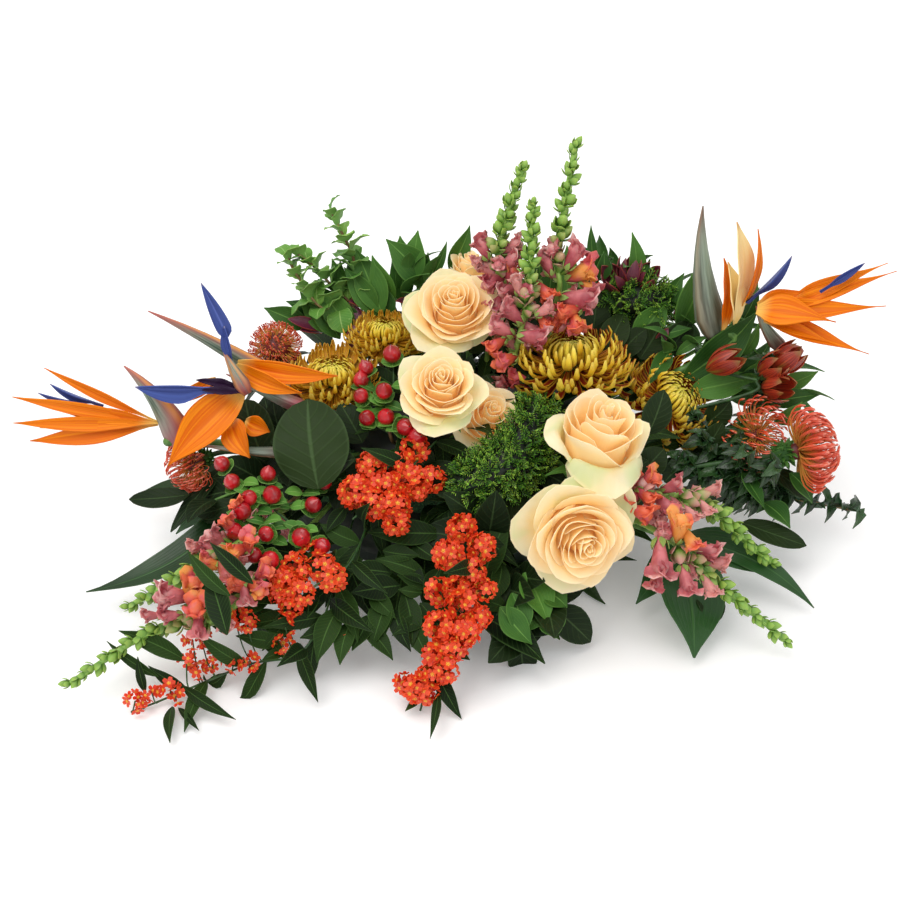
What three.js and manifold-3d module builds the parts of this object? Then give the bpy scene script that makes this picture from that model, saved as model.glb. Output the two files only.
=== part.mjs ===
// Oval table arrangement of cut flowers and foliage, standing in wet floral foam in a low tray.
// Millimetres. +Z is up, +X runs along the arrangement, and it is seen from the -Y side.
// The origin is the middle of the tray's flat underside.
import * as THREE from "three";
import { mergeVertices } from "three/addons/utils/BufferGeometryUtils.js";
import Module from "manifold-3d";

const wasm = await Module();
wasm.setup();

// Driving dimensions
const tray = { length: 268, width: 122, height: 40, wall: 2.4, sides: 18 };
const foam = { length: 258, width: 112, top: 88, shoulder: 0.86, sides: 12 };
const stemDepth = 34; // how far a stem is pushed into the foam
const clearance = 0.35; // air left between pieces that touch
const tableGap = 1.2; // the lowest leaf tip stays this far above the table
const bladeThickness = 1.3; // at the midrib of a leaf or petal
const petalThickness = 1.0;

// The view that the flowers were composed for. A place is read off it as column, row and height.
const view = { elevation: 40, distance: 2000, mmPerPixel: 0.82, middle: 450, aimHeight: 75 };

const X = new THREE.Vector3(1, 0, 0);
const Z = new THREE.Vector3(0, 0, 1);
const radians = THREE.MathUtils.degToRad;
const goldenAngle = radians(137.508);

// The point at a height above the table that is seen at a column and row of the view.
function seen(column, row, height) {
  const tilt = radians(view.elevation);
  const back = new THREE.Vector3(0, -Math.cos(tilt), Math.sin(tilt));
  const eye = back.clone().multiplyScalar(view.distance);
  eye.z += view.aimHeight;
  const ray = back.clone().multiplyScalar(-view.distance);
  ray.x += (column - view.middle) * view.mmPerPixel;
  ray.y += (view.middle - row) * view.mmPerPixel * Math.sin(tilt);
  ray.z += (view.middle - row) * view.mmPerPixel * Math.cos(tilt);
  return eye.addScaledVector(ray, (height - eye.z) / ray.z);
}

// A direction by its turn to the viewer's right and its rise above the horizon, in degrees.
function towards(turn, rise) {
  const [a, e] = [radians(turn), radians(rise)];
  return new THREE.Vector3(Math.sin(a) * Math.cos(e), -Math.cos(a) * Math.cos(e), Math.sin(e));
}

function seededRandom(seed) {
  let state = seed;
  return () => {
    state = (Math.imul(state, 1664525) + 1013904223) >>> 0;
    return state / 4294967296;
  };
}

// A closed surface through rings of points. A ring of one point ends it in a tip.
// Both faces of a thin blade are split along the same diagonals, so they never cross.
function skin(rings) {
  const points = rings.flat();
  const faces = [];
  let start = 0;
  for (let i = 0; i + 1 < rings.length; i++) {
    const [here, next] = [rings[i].length, rings[i + 1].length];
    const [a, b] = [start, start + here];
    const sides = Math.max(here, next);
    for (let k = 0; k < sides; k++) {
      const l = (k + 1) % sides;
      if (here === 1) faces.push(a, b + l, b + k);
      else if (next === 1) faces.push(a + k, a + l, b);
      else if (k < sides / 2) faces.push(a + k, a + l, b + l, a + k, b + l, b + k);
      else faces.push(a + k, a + l, b + k, a + l, b + l, b + k);
    }
    start += here;
  }
  const last = rings[rings.length - 1].length;
  faces.push(...cap(0, rings[0].length, true), ...cap(start, last, false));
  const geometry = new THREE.BufferGeometry().setFromPoints(points);
  return geometry.setIndex(faces);
}

// The strip of triangles that closes an end ring.
function cap(start, count, flipped) {
  const faces = [];
  for (let low = 0, high = count - 1; high - low > 1; low++, high--) {
    faces.push([low, low + 1, high]);
    if (high - 1 > low + 1) faces.push([low + 1, high - 1, high]);
  }
  return faces.flatMap(([a, b, c]) => (flipped ? [a, c, b] : [a, b, c]).map((i) => i + start));
}

// A closed surface as a solid that can be joined and cut.
function solidOf(geometry) {
  const bare = new THREE.BufferGeometry().setAttribute("position", geometry.getAttribute("position"));
  if (geometry.index) bare.setIndex(geometry.index);
  const merged = mergeVertices(bare, 1e-4);
  const triVerts = new Uint32Array(merged.index.array);
  const vertProperties = merged.attributes.position.array;
  const made = new wasm.Manifold(new wasm.Mesh({ numProp: 3, vertProperties, triVerts }));
  if (made.volume() > 0) return made;
  for (let i = 0; i < triVerts.length; i += 3) {
    [triVerts[i + 1], triVerts[i + 2]] = [triVerts[i + 2], triVerts[i + 1]];
  }
  return new wasm.Manifold(new wasm.Mesh({ numProp: 3, vertProperties, triVerts }));
}

// The frame of a bloom: its origin at the seat, +Z the way the bloom faces.
function frameAt(origin, facing, spin = 0) {
  const turn = new THREE.Quaternion().setFromUnitVectors(Z, facing.clone().normalize());
  const about = new THREE.Quaternion().setFromAxisAngle(Z, radians(spin));
  return new THREE.Matrix4().compose(origin, turn.multiply(about), new THREE.Vector3(1, 1, 1));
}

// Pieces that stand in the arrangement, and the test that keeps them apart
const standing = [];
const growth = []; // what unfolds from the stems and seats once all of these stand

function boxesApart(a, b) {
  return [0, 1, 2].some((i) => a.min[i] > b.max[i] + clearance || b.min[i] > a.max[i] + clearance);
}

class Piece {
  constructor(name, look) {
    this.name = name;
    this.look = look;
    this.solids = [];
  }

  add(solid, grown = false) {
    this.solids.push(solid);
    standing.push({ piece: this, solid, grown, box: solid.boundingBox() });
    return this;
  }

  // Takes the first of the shapes that is clear of every other piece and of the table.
  offer(shapes) {
    return this.#take(shapes, false);
  }

  // The same, and clear of what has grown on this piece too.
  grow(shapes) {
    return this.#take(shapes, true);
  }

  #take(shapes, apart) {
    for (const shape of shapes) {
      const solid = shape();
      if (!isClear(solid, this, apart)) continue;
      this.add(solid, apart);
      return true;
    }
    return false;
  }

  // One body: loose scraps are dropped and sealed hollows are filled.
  whole() {
    const joined = wasm.Manifold.union(this.solids);
    return joined.decompose().sort((a, b) => b.volume() - a.volume())[0];
  }
}

function isClear(solid, own, apart, through = null) {
  const box = solid.boundingBox();
  if (box.min[2] < tableGap) return false;
  return standing.every((other) => {
    const kin = other.piece === through || (other.piece === own && !(apart && other.grown));
    if (kin || boxesApart(box, other.box)) return true;
    return other.solid.minGap(solid, clearance) >= clearance;
  });
}

// Looks: colour, roughness
const looks = {
  tray: [0x1d2b22, 0.5],
  foam: [0x3f6b3a, 0.95],
  peach: [0xf6cf98, 0.6],
  roseGreen: [0x4d6b34, 0.6],
  bronze: [0xc39a26, 0.6],
  sepal: [0xf28a1c, 0.45],
  tongue: [0x33388a, 0.5],
  spathe: [0x7c8a72, 0.5],
  pincushion: [0xcf4f38, 0.55],
  snapdragon: [0xb8646e, 0.6],
  berry: [0xb7162a, 0.3],
  scarlet: [0xea4f1c, 0.6],
  brush: [0x4d8230, 0.8],
  lilyRed: [0x8e2a22, 0.5],
  privet: [0x4e7c37, 0.5],
  privetDark: [0x24422a, 0.35],
  ruscus: [0x4a7a38, 0.5],
  salal: [0x2d4a2c, 0.4],
};

// Shapes

function polygon(sides, radius) {
  const points = [];
  for (let i = 0; i < sides; i++) {
    const angle = (i / sides) * 2 * Math.PI;
    points.push(new THREE.Vector2(Math.cos(angle) * radius, Math.sin(angle) * radius));
  }
  return points;
}

// A round stem or twig through points, turned as little as possible from one to the next.
function tube(points, radius, sides = 3) {
  let side = null;
  const rings = points.map((point, i) => {
    const before = points[Math.max(i - 1, 0)];
    const after = points[Math.min(i + 1, points.length - 1)];
    const way = after.clone().sub(before).normalize();
    side ??= way.clone().cross(Math.abs(way.z) < 0.9 ? Z : X);
    side = side.clone().addScaledVector(way, -side.dot(way)).normalize();
    return polygon(sides, radius).map(({ x, y }) => {
      const across = side.clone().multiplyScalar(x);
      return point.clone().add(across.addScaledVector(way.clone().cross(side), y));
    });
  });
  return solidOf(skin(rings));
}

// The way out of the foam: a stem's foot leans from the middle of the foam towards its goal.
function wayOut(foot, goal) {
  const heart = new THREE.Vector3(foot.x * 0.72, foot.y * 0.35, 20);
  const out = foot.clone().sub(heart).normalize();
  return out.add(goal.clone().sub(foot).normalize()).normalize();
}

// The course of a stem from inside the foam to the seat of a bloom that faces a given way.
function stemTo(foot, seat, facing) {
  const out = wayOut(foot, seat);
  const span = foot.distanceTo(seat);
  const rise = foot.clone().addScaledVector(out, span * 0.4);
  const arrive = seat.clone().addScaledVector(facing, -span * 0.35);
  return rooted(foot, out, new THREE.CubicBezierCurve3(foot, rise, arrive, seat));
}

// The course of a stem from inside the foam through the places that a spray passes.
function stemThrough(foot, places) {
  return rooted(foot, wayOut(foot, places[0]), new THREE.CatmullRomCurve3([foot, ...places]));
}

function rooted(foot, out, curve) {
  const steps = Math.max(3, Math.round(curve.getLength() / 42));
  return [foot.clone().addScaledVector(out, -stemDepth), ...curve.getSpacedPoints(steps)];
}

// The feet tried for a stem, nearest first, so that stems pass each other.
function feetNear(foot) {
  const [x, y, z] = foot;
  const feet = [new THREE.Vector3(x, y, z)];
  for (const reach of [5, 9, 14, 19]) {
    for (let turn = 0; turn < 8; turn++) {
      const angle = (turn / 8) * 2 * Math.PI;
      const across = new THREE.Vector3(Math.cos(angle), Math.sin(angle) * 0.6, 0);
      across.z = z < foam.top ? Math.sin(angle * 2) * 0.5 : 0;
      feet.push(new THREE.Vector3(x, y, z).addScaledVector(across, reach));
    }
  }
  return feet;
}

// A stem that stands clear of all that stands already; it goes through the foam in its own hole.
function plant(piece, foot, radius, route, sides = 3) {
  for (const start of feetNear(foot)) {
    const course = route(start);
    const solid = tube(course, radius, sides);
    if (!isClear(solid, piece, false, foamPiece)) continue;
    piece.add(solid);
    holes.push(holeFor(course, solid, radius, sides));
    return chain(course);
  }
  throw new Error("no way through for the stem of " + piece.name);
}

// A plain hole that follows the stem for as few runs as leave it clear of the foam.
function holeFor(course, stem, radius, sides) {
  const [foamBlock] = foamPiece.solids;
  const bottom = course[0].clone().lerp(course[1], -clearance / stemDepth);
  const mouth = course[0].clone().lerp(course[1], 1.15);
  let hole = tube([bottom, mouth], radius + clearance * 1.8, sides);
  for (let runs = 3; foamBlock.subtract(hole).minGap(stem, clearance) < clearance * 0.8; runs++) {
    hole = tube([bottom, ...course.slice(1, runs)], radius + clearance * 1.8, sides);
  }
  return hole;
}

// Straight runs through points.
function chain(points) {
  const path = new THREE.CurvePath();
  for (let i = 1; i < points.length; i++) path.add(new THREE.LineCurve3(points[i - 1], points[i]));
  return path;
}

// A leaf or sepal from its root through its base to its tip. The blade is folded at the midrib
// and bowed along its length; face says which way its upper side looks.
function leaf(root, base, tip, width, shape = {}) {
  const { bow = 0.06, fold = 0.25, widest = 0.38, face = towards(0, 62), neck = 0 } = shape;
  const along = tip.clone().sub(base);
  const length = along.length();
  const unit = along.clone().normalize();
  const side = unit.clone().cross(face).normalize();
  const up = side.clone().cross(unit).normalize();
  const ring = (t, half) => {
    const middle = base.clone().addScaledVector(along, t);
    middle.addScaledVector(up, bow * 4 * t * (1 - t) * length);
    const edge = (way) => middle.clone().addScaledVector(side, half * way).addScaledVector(up, fold * half);
    const rib = (way) => middle.clone().addScaledVector(up, (way * bladeThickness) / 2);
    return [edge(-1), rib(1), edge(1), rib(-1)];
  };
  const rings = [ring(widest, width / 2)];
  if (length > 34) rings.push(ring(widest + 0.62 * (1 - widest), width * 0.3));
  if (neck > 0) rings.unshift(ring(0, neck));
  return solidOf(skin([[root], ...rings, [tip]]));
}

// The same leaf, then turned and lifted a little, for offering where it may meet a neighbour.
function leafChoices(root, base, tip, width, shape = {}) {
  const along = tip.clone().sub(base);
  const choices = [];
  for (const [lift, turn, share] of leafBends) {
    choices.push(() => {
      const bent = along.clone().applyAxisAngle(Z, radians(turn)).multiplyScalar(share);
      bent.z += along.length() * lift;
      return leaf(root, base, base.clone().add(bent), width * Math.sqrt(share), shape);
    });
  }
  return choices;
}

const leafBends = [
  [0, 0, 1],
  [0.12, 0, 1],
  [-0.12, 0, 1],
  [0, 12, 1],
  [0, -12, 1],
  [0.25, 0, 0.95],
  [-0.25, 0, 0.95],
  [0.12, 22, 0.9],
  [0.12, -22, 0.9],
  [-0.1, 22, 0.9],
  [-0.1, -22, 0.9],
  [0.4, 0, 0.8],
  [0, 0, 0.7],
  [0.3, 35, 0.75],
  [0.3, -35, 0.75],
];

// A three-sided needle through points, pointed at its far end.
function needle(points, radius) {
  const rings = points.slice(0, -1).map((point, i) => {
    const way = points[i + 1].clone().sub(point).normalize();
    const side = way.clone().cross(Math.abs(way.z) < 0.9 ? Z : X).normalize();
    const thick = radius * (1 - (0.35 * i) / (points.length - 1));
    return [0, 1, 2].map((k) =>
      point.clone().addScaledVector(side.clone().applyAxisAngle(way, (k * 2 * Math.PI) / 3), thick),
    );
  });
  return solidOf(skin([...rings, [points[points.length - 1]]]));
}

function egg(centre, way, radius, length, sides = 5, bands = 3) {
  const ball = new THREE.SphereGeometry(1, sides, bands).rotateX(Math.PI / 2);
  ball.scale(radius, radius, length / 2).applyMatrix4(frameAt(centre, way));
  return solidOf(ball);
}

// Tray and foam

function ellipsePrism(length, width, low, high, sides) {
  const shape = new THREE.Shape(polygon(sides, 1));
  const prism = new THREE.ExtrudeGeometry(shape, { depth: high - low, bevelEnabled: false });
  return prism.scale(length / 2, width / 2, 1).translate(0, 0, low);
}

function makeTray() {
  const { length, width, height, wall, sides } = tray;
  const outside = solidOf(ellipsePrism(length, width, 0, height, sides));
  const inside = ellipsePrism(length - 2 * wall, width - 2 * wall, wall, height + 1, sides);
  return outside.subtract(solidOf(inside));
}

function makeFoam() {
  const low = tray.wall + clearance;
  const profile = [
    new THREE.Vector2(0, low),
    new THREE.Vector2(1, low),
    new THREE.Vector2(1, foam.top - 14),
    new THREE.Vector2(foam.shoulder, foam.top),
    new THREE.Vector2(0, foam.top),
  ];
  const block = new THREE.LatheGeometry(profile, foam.sides).rotateX(Math.PI / 2);
  return solidOf(block.scale(foam.length / 2, foam.width / 2, 1));
}

const trayPiece = new Piece("tray", looks.tray).add(makeTray());
const foamPiece = new Piece("floral_foam", looks.foam).add(makeFoam());
const holes = [];
const pieces = [trayPiece, foamPiece];

function newPiece(name, look) {
  const piece = new Piece(name, look);
  pieces.push(piece);
  return piece;
}

// Roses

const roses = [
  {
    name: "rose_top",
    centre: seen(450, 308, 190),
    diameter: 84,
    facing: towards(0, 59),
    foot: [2, 14, 88],
    spin: 20,
    whorls: [0, 1],
  },
  {
    name: "rose_mid_left",
    centre: seen(443, 389, 176),
    diameter: 78,
    facing: towards(12, 62),
    foot: [-14, -7, 88],
    spin: 75,
    whorls: [0, 1],
  },
  {
    name: "rose_mid_right",
    centre: seen(597, 428, 158),
    diameter: 84,
    facing: towards(65, 66),
    foot: [71, -18, 88],
    spin: 10,
    whorls: [0, 1],
  },
  {
    name: "rose_front",
    centre: seen(575, 537, 112),
    diameter: 100,
    facing: towards(13, 25),
    foot: [55, -44, 71],
    spin: 40,
    whorls: [0, 1],
  },
  {
    name: "rose_small",
    centre: seen(496, 416, 132),
    diameter: 58,
    facing: towards(30, 60),
    foot: [28, -7, 88],
    spin: 0,
    whorls: [1],
  },
  {
    name: "rose_back",
    centre: seen(478, 262, 186),
    diameter: 60,
    facing: towards(160, 62),
    foot: [16, 35, 88],
    spin: 0,
    whorls: [1],
  },
];

// Petal whorls, in shares of the bloom's diameter. rim is the radius of the petals' top edge.
const roseWhorls = [
  { petals: 3, base: 0.06, belly: 0.27, rim: 0.3, height: 0.53, sweep: 114, droop: 0.18 },
  { petals: 5, base: 0.08, belly: 0.36, rim: 0.5, height: 0.42, sweep: 69, droop: 0.3 },
];
const roseSeat = 0.3; // from the bloom's middle back to its seat, in diameters

function rosePetal(whorl, angle, diameter) {
  const { base, belly, rim, height, sweep, droop } = whorl;
  const control = 2 * belly - (base + rim) / 2;
  const place = (t, s, inwards) => {
    const reach = base * (1 - t) ** 2 + 2 * control * t * (1 - t) + (rim - 0.03 * s * s * t) * t * t;
    const radius = reach * diameter - inwards * petalThickness;
    const turn = angle + (radians(sweep) / 2) * s * (0.7 + 0.3 * t);
    const up = (0.03 + height * (1 - (1 - t) ** 2) * (1 - droop * s * s * t)) * diameter;
    return new THREE.Vector3(Math.cos(turn) * radius, Math.sin(turn) * radius, up);
  };
  const ring = (t) => [...[-1, 0, 1].map((s) => place(t, s, 0)), ...[1, 0, -1].map((s) => place(t, s, 1))];
  return skin([ring(0), ring(0.5), ring(1)]);
}

function makeRoseBloom({ name, centre, diameter, facing, spin, whorls }) {
  const piece = newPiece(name + "_bloom", looks.peach);
  const seat = centre.clone().addScaledVector(facing, -roseSeat * diameter);
  const frame = frameAt(seat, facing, spin);
  const bud = new THREE.CylinderGeometry(diameter * 0.04, diameter * 0.11, diameter * 0.5, 5);
  bud.rotateX(Math.PI / 2).translate(0, 0, diameter * 0.25);
  piece.add(solidOf(bud.applyMatrix4(frame)));
  growth.push(() => {
    whorls.forEach((layer) => growWhorl(piece, roseWhorls[layer], layer, diameter, frame));
  });
  return seat;
}

function growWhorl(piece, whorl, layer, diameter, frame) {
  for (let i = 0; i < whorl.petals; i++) {
    const angle = ((i + layer * 0.5) / whorl.petals) * 2 * Math.PI;
    const sized = (share) => () => {
      const smaller = { ...whorl, rim: whorl.rim * share, belly: whorl.belly * (0.5 + share / 2) };
      return solidOf(rosePetal(smaller, angle, diameter).applyMatrix4(frame));
    };
    piece.offer([sized(1), sized(0.9), sized(0.8), sized(0.7)]);
  }
}

// The green hip under the petals, and the stem.
function makeRoseStem({ name, diameter, facing, foot }, bloomSeat) {
  const piece = newPiece(name + "_stem", looks.roseGreen);
  const top = bloomSeat.clone().addScaledVector(facing, -clearance * 1.3);
  const hip = new THREE.CylinderGeometry(diameter * 0.07, 3, 10, 5);
  hip.rotateX(Math.PI / 2).translate(0, 0, -5);
  piece.add(solidOf(hip.applyMatrix4(frameAt(top, facing))));
  const seat = top.clone().addScaledVector(facing, -7);
  plant(piece, foot, 2.8, (start) => stemTo(start, seat, facing));
}

// Chrysanthemums: strap florets in a golden spiral, incurved at the middle and spread at the rim.

const chrysanthemums = [
  {
    name: "chrysanthemum_top",
    centre: seen(579, 362, 150),
    diameter: 108,
    facing: towards(180, 78),
    foot: [82, 14, 88],
    florets: 24,
  },
  {
    name: "chrysanthemum_right",
    centre: seen(676, 398, 108),
    diameter: 92,
    facing: towards(70, 60),
    foot: [110, 5, 80],
    florets: 18,
  },
  {
    name: "chrysanthemum_left",
    centre: seen(333, 376, 138),
    diameter: 80,
    facing: towards(-20, 80),
    foot: [-69, 2, 88],
    florets: 17,
  },
  {
    name: "chrysanthemum_back_left",
    centre: seen(385, 333, 146),
    diameter: 66,
    facing: towards(-20, 60),
    foot: [-41, 23, 88],
    florets: 13,
  },
];

function makeChrysanthemum(bloom) {
  const { name, centre, diameter, facing, florets } = bloom;
  const piece = newPiece(name, looks.bronze);
  const frame = frameAt(centre, facing);
  piece.add(egg(centre, facing, diameter * 0.17, diameter * 0.34, 6, 3));
  plantHead(piece, bloom, 2.6, 0.1);
  growth.push(() => {
    for (let i = florets - 1; i >= 0; i--) {
      piece.offer(strapFloret(i, (i + 0.5) / florets, diameter, frame));
    }
  });
}

// out runs from 0 at the middle of the head to 1 at its rim.
function strapFloret(order, out, diameter, frame) {
  const lean = radians(6 + 92 * out ** 0.8);
  const turn = order * goldenAngle;
  const length = diameter * (0.22 + 0.24 * out);
  const radial = new THREE.Vector3(Math.cos(turn), Math.sin(turn), 0);
  const way = radial.clone().multiplyScalar(Math.sin(lean)).addScaledVector(Z, Math.cos(lean));
  const curl = out < 0.5 ? radial.clone().multiplyScalar(-0.2) : Z.clone().multiplyScalar(0.26);
  const point = (share) => {
    const straight = way.clone().multiplyScalar(diameter * 0.07 + length * share);
    return straight.addScaledVector(curl, length * share * share);
  };
  return [1, 0.85, 0.7].map((share) => () => {
    const shares = out < 0.5 ? [0, share] : [0, 0.6 * share, share];
    return needle(shares.map((at) => point(at).applyMatrix4(frame)), diameter * (0.03 + 0.016 * out));
  });
}

function plantHead(piece, { centre, diameter, facing, foot }, radius, sunk) {
  const seat = centre.clone().addScaledVector(facing, -diameter * sunk);
  return plant(piece, foot, radius, (start) => stemTo(start, seat, facing));
}

// Pincushion proteas: a cone of bracts under a dome of curved styles.

const pincushions = [
  {
    name: "pincushion_back_left",
    centre: seen(272, 344, 148),
    diameter: 46,
    facing: towards(-50, 62),
    foot: [-96, 21, 84],
    styles: 9,
  },
  {
    name: "pincushion_low_left",
    centre: seen(190, 468, 84),
    diameter: 46,
    facing: towards(-50, 6),
    foot: [-119, -16, 63],
    styles: 9,
  },
  {
    name: "pincushion_right",
    centre: seen(760, 438, 96),
    diameter: 60,
    facing: towards(30, 16),
    foot: [117, -12, 69],
    styles: 10,
  },
  {
    name: "pincushion_far_right",
    centre: seen(808, 450, 98),
    diameter: 62,
    facing: towards(84, 30),
    foot: [119, -21, 53],
    styles: 10,
  },
];

function makePincushion(bloom) {
  const { name, centre, diameter, facing, styles } = bloom;
  const piece = newPiece(name, looks.pincushion);
  const frame = frameAt(centre, facing);
  const bracts = new THREE.CylinderGeometry(diameter * 0.34, diameter * 0.06, diameter * 0.36, 6);
  bracts.rotateX(Math.PI / 2).translate(0, 0, -diameter * 0.2);
  piece.add(solidOf(bracts.applyMatrix4(frame)));
  piece.add(egg(centre, facing, diameter * 0.32, diameter * 0.44, 6, 3));
  plantHead(piece, bloom, 2.8, 0.3);
  growth.push(() => {
    for (let i = 0; i < styles; i++) {
      piece.offer(curvedStyle(i, (i + 0.5) / styles, diameter, frame));
    }
  });
}

function curvedStyle(order, out, diameter, frame) {
  const lean = radians(8 + 84 * out ** 0.7);
  const turn = order * goldenAngle;
  const radial = new THREE.Vector3(Math.cos(turn), Math.sin(turn), 0);
  const way = radial.clone().multiplyScalar(Math.sin(lean)).addScaledVector(Z, Math.cos(lean));
  const length = diameter * (0.2 + 0.16 * out);
  const hook = Z.clone().multiplyScalar(0.45 * out).addScaledVector(radial, -0.25 * (1 - out));
  const point = (share) => {
    const straight = way.clone().multiplyScalar(diameter * 0.2 + length * share);
    return straight.addScaledVector(hook, length * share * share);
  };
  return [1, 0.75].map((share) => () => {
    const points = [0, 1].map((at) => point(at * share).applyMatrix4(frame));
    return needle(points, 1.1);
  });
}

// Bird of paradise flowers: a beaked spathe on its stem, orange sepals and blue tongues.

const strelitzias = [
  {
    name: "strelitzia_far_left",
    foot: [-119, 5, 74],
    neck: seen(176, 442, 104),
    spathe: { heel: seen(184, 446, 102), throat: seen(152, 418, 122), beak: seen(124, 368, 160), depth: 17 },
    sepals: [
      [seen(12, 399, 140), 13],
      [seen(14, 441, 112), 14],
      [seen(34, 422, 122), 11],
      [seen(42, 368, 158), 10],
    ],
    tongues: [seen(40, 378, 150)],
  },
  {
    name: "strelitzia_left",
    foot: [-105, -7, 84],
    neck: seen(318, 416, 112),
    spathe: { heel: seen(306, 412, 116), throat: seen(238, 384, 142), beak: seen(150, 313, 196), depth: 17 },
    sepals: [
      [seen(167, 468, 102), 26],
      [seen(262, 452, 118), 20],
      [seen(340, 378, 168), 20],
      [seen(318, 398, 152), 20],
    ],
    tongues: [seen(203, 286, 232), seen(139, 386, 158)],
  },
  {
    name: "strelitzia_right_back",
    foot: [100, 26, 82],
    neck: seen(734, 344, 138),
    spathe: { heel: seen(738, 338, 140), throat: seen(738, 306, 168), beak: seen(703, 208, 262), depth: 26 },
    sepals: [
      [seen(737, 224, 252), 14],
      [seen(757, 231, 244), 14],
      [seen(790, 258, 214), 9],
    ],
    tongues: [],
  },
  {
    name: "strelitzia_right",
    foot: [114, 26, 67],
    neck: seen(802, 356, 132),
    via: new THREE.Vector3(206, 74, 66),
    spathe: { heel: seen(796, 362, 130), throat: seen(806, 330, 160), beak: seen(762, 306, 176), depth: 15 },
    sepals: [
      [seen(894, 266, 222), 20],
      [seen(888, 306, 190), 12],
      [seen(868, 352, 152), 14],
      [seen(760, 298, 184), 18],
    ],
    tongues: [seen(866, 264, 226)],
  },
];

function makeStrelitzia({ name, foot, via, neck, spathe, sepals, tongues }) {
  const { heel, throat, beak, depth } = spathe;
  const sheath = newPiece(name + "_spathe", looks.spathe);
  const along = beak.clone().sub(heel).normalize();
  const up = throat.clone().sub(heel).normalize();
  up.addScaledVector(along, -up.dot(along)).normalize();
  const side = along.clone().cross(up);
  const sag = heel.clone().lerp(beak, 0.5).addScaledVector(up, -depth * 0.5);
  const keel = new THREE.QuadraticBezierCurve3(heel, sag, beak);
  const ring = ([t, tall, wide]) => {
    const middle = keel.getPoint(t);
    return [[0.35, -1], [0.5, 0], [0.35, 1], [-0.25, 0.8], [-0.5, 0], [-0.25, -0.8]].map(([rise, out]) => {
      return middle.clone().addScaledVector(up, rise * tall * depth).addScaledVector(side, out * wide);
    });
  };
  sheath.add(solidOf(skin([...spatheRings.map(ring), [beak]])));
  const joint = keel.getPoint(0.08);
  const inward = joint.clone().sub(neck).normalize();
  const stops = [via, neck, joint.addScaledVector(inward, 2)].filter(Boolean);
  plant(sheath, foot, 4, (start) => stemThrough(start, stops), 4);

  const lip = (t, lift) => keel.getPoint(t).addScaledVector(up, depth * 0.5 + lift);
  const orange = newPiece(name + "_sepals", looks.sepal);
  const lifts = Array.from({ length: 40 }, (_, i) => 1 + i * 0.2);
  const eye = lip(0.24, 4);
  orange.offer(lifts.map((lift) => () => egg(eye.copy(lip(0.24, lift)), up, 3.6, 8, 6, 4)));
  const blue = tongues.length > 0 ? newPiece(name + "_tongue", looks.tongue) : orange;
  const dart = lip(0.46, 4);
  if (blue !== orange) {
    blue.offer(lifts.map((lift) => () => egg(dart.copy(lip(0.46, lift)), along, 2.6, 9, 5, 3)));
  }
  growth.push(() => {
    for (const tip of tongues) {
      blue.offer(flare(dart, tip, 10, { bow: 0.02, fold: 0.7, widest: 0.35 }));
    }
    for (const [tip, width] of sepals) {
      orange.offer(flare(eye, tip, width, { bow: 0.05, fold: 0.35, widest: 0.42 }));
    }
  });
}

// Height and half width of the spathe at shares of its length, as shares of its depth and in mm.
const spatheRings = [
  [0, 0.4, 3.5],
  [0.22, 1, 6.5],
  [0.55, 0.62, 4.2],
  [0.82, 0.3, 2],
];

// A pointed sepal or tongue that starts inside the knot it grows from.
function flare(knot, tip, width, shape) {
  const way = tip.clone().sub(knot).normalize();
  const root = knot.clone().addScaledVector(way, 0.5);
  return leafChoices(root, knot.clone().addScaledVector(way, 4.5), tip, width, shape);
}

// Snapdragon spikes: open flowers low on the spike, buds towards its tip.

const snapdragons = [
  {
    name: "snapdragon_back_left",
    foot: [25, 39, 86],
    places: [seen(505, 285, 196), seen(512, 225, 245), seen(522, 170, 290)],
    flowers: 7,
    from: 0.42,
  },
  {
    name: "snapdragon_back_mid",
    foot: [39, 26, 88],
    places: [seen(533, 322, 182), seen(530, 262, 226), seen(533, 204, 270)],
    flowers: 7,
    from: 0.42,
  },
  {
    name: "snapdragon_back_right",
    foot: [53, 39, 86],
    places: [seen(562, 292, 196), seen(560, 220, 252), seen(575, 147, 308)],
    flowers: 7,
    from: 0.4,
  },
  {
    name: "snapdragon_right_high",
    foot: [100, -30, 78],
    places: [seen(648, 500, 104), seen(700, 510, 92), seen(771, 562, 40)],
    flowers: 7,
    from: 0.34,
  },
  {
    name: "snapdragon_right_low",
    foot: [89, -40, 69],
    places: [seen(655, 545, 88), seen(716, 590, 60), seen(785, 640, 20)],
    flowers: 7,
    from: 0.36,
  },
  {
    name: "snapdragon_left_high",
    foot: [-100, -32, 76],
    places: [seen(235, 545, 90), seen(185, 578, 66), seen(130, 606, 38)],
    flowers: 7,
    from: 0.34,
  },
  {
    name: "snapdragon_left_low",
    foot: [-87, -42, 67],
    places: [seen(230, 610, 62), seen(160, 628, 46), seen(70, 683, 24)],
    flowers: 7,
    from: 0.36,
  },
];

function makeSnapdragon({ name, foot, places, flowers, from }) {
  const piece = newPiece(name, looks.snapdragon);
  const path = plant(piece, foot, 1.8, (start) => stemThrough(start, places));
  growth.push(() => {
    for (let i = 0; i < flowers; i++) {
      const share = i / (flowers - 1);
      const t = from + (1 - from) * share;
      const size = 1 - 0.5 * share;
      piece.grow(share < 0.5 ? openMouth(path, t, i, size) : closedBud(path, t, i, size));
    }
  });
}

// The place on a stem and the way out of it for the flower or leaf of a given order.
function shoot(path, t, turn, lean) {
  const at = path.getPointAt(Math.min(t, 0.995));
  const tangent = path.getTangentAt(Math.min(t, 0.995));
  const side = tangent.clone().cross(Math.abs(tangent.z) < 0.9 ? Z : X).normalize();
  side.applyAxisAngle(tangent, turn);
  const way = side.multiplyScalar(Math.sin(lean)).addScaledVector(tangent, Math.cos(lean));
  return { at, way: way.normalize() };
}

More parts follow.
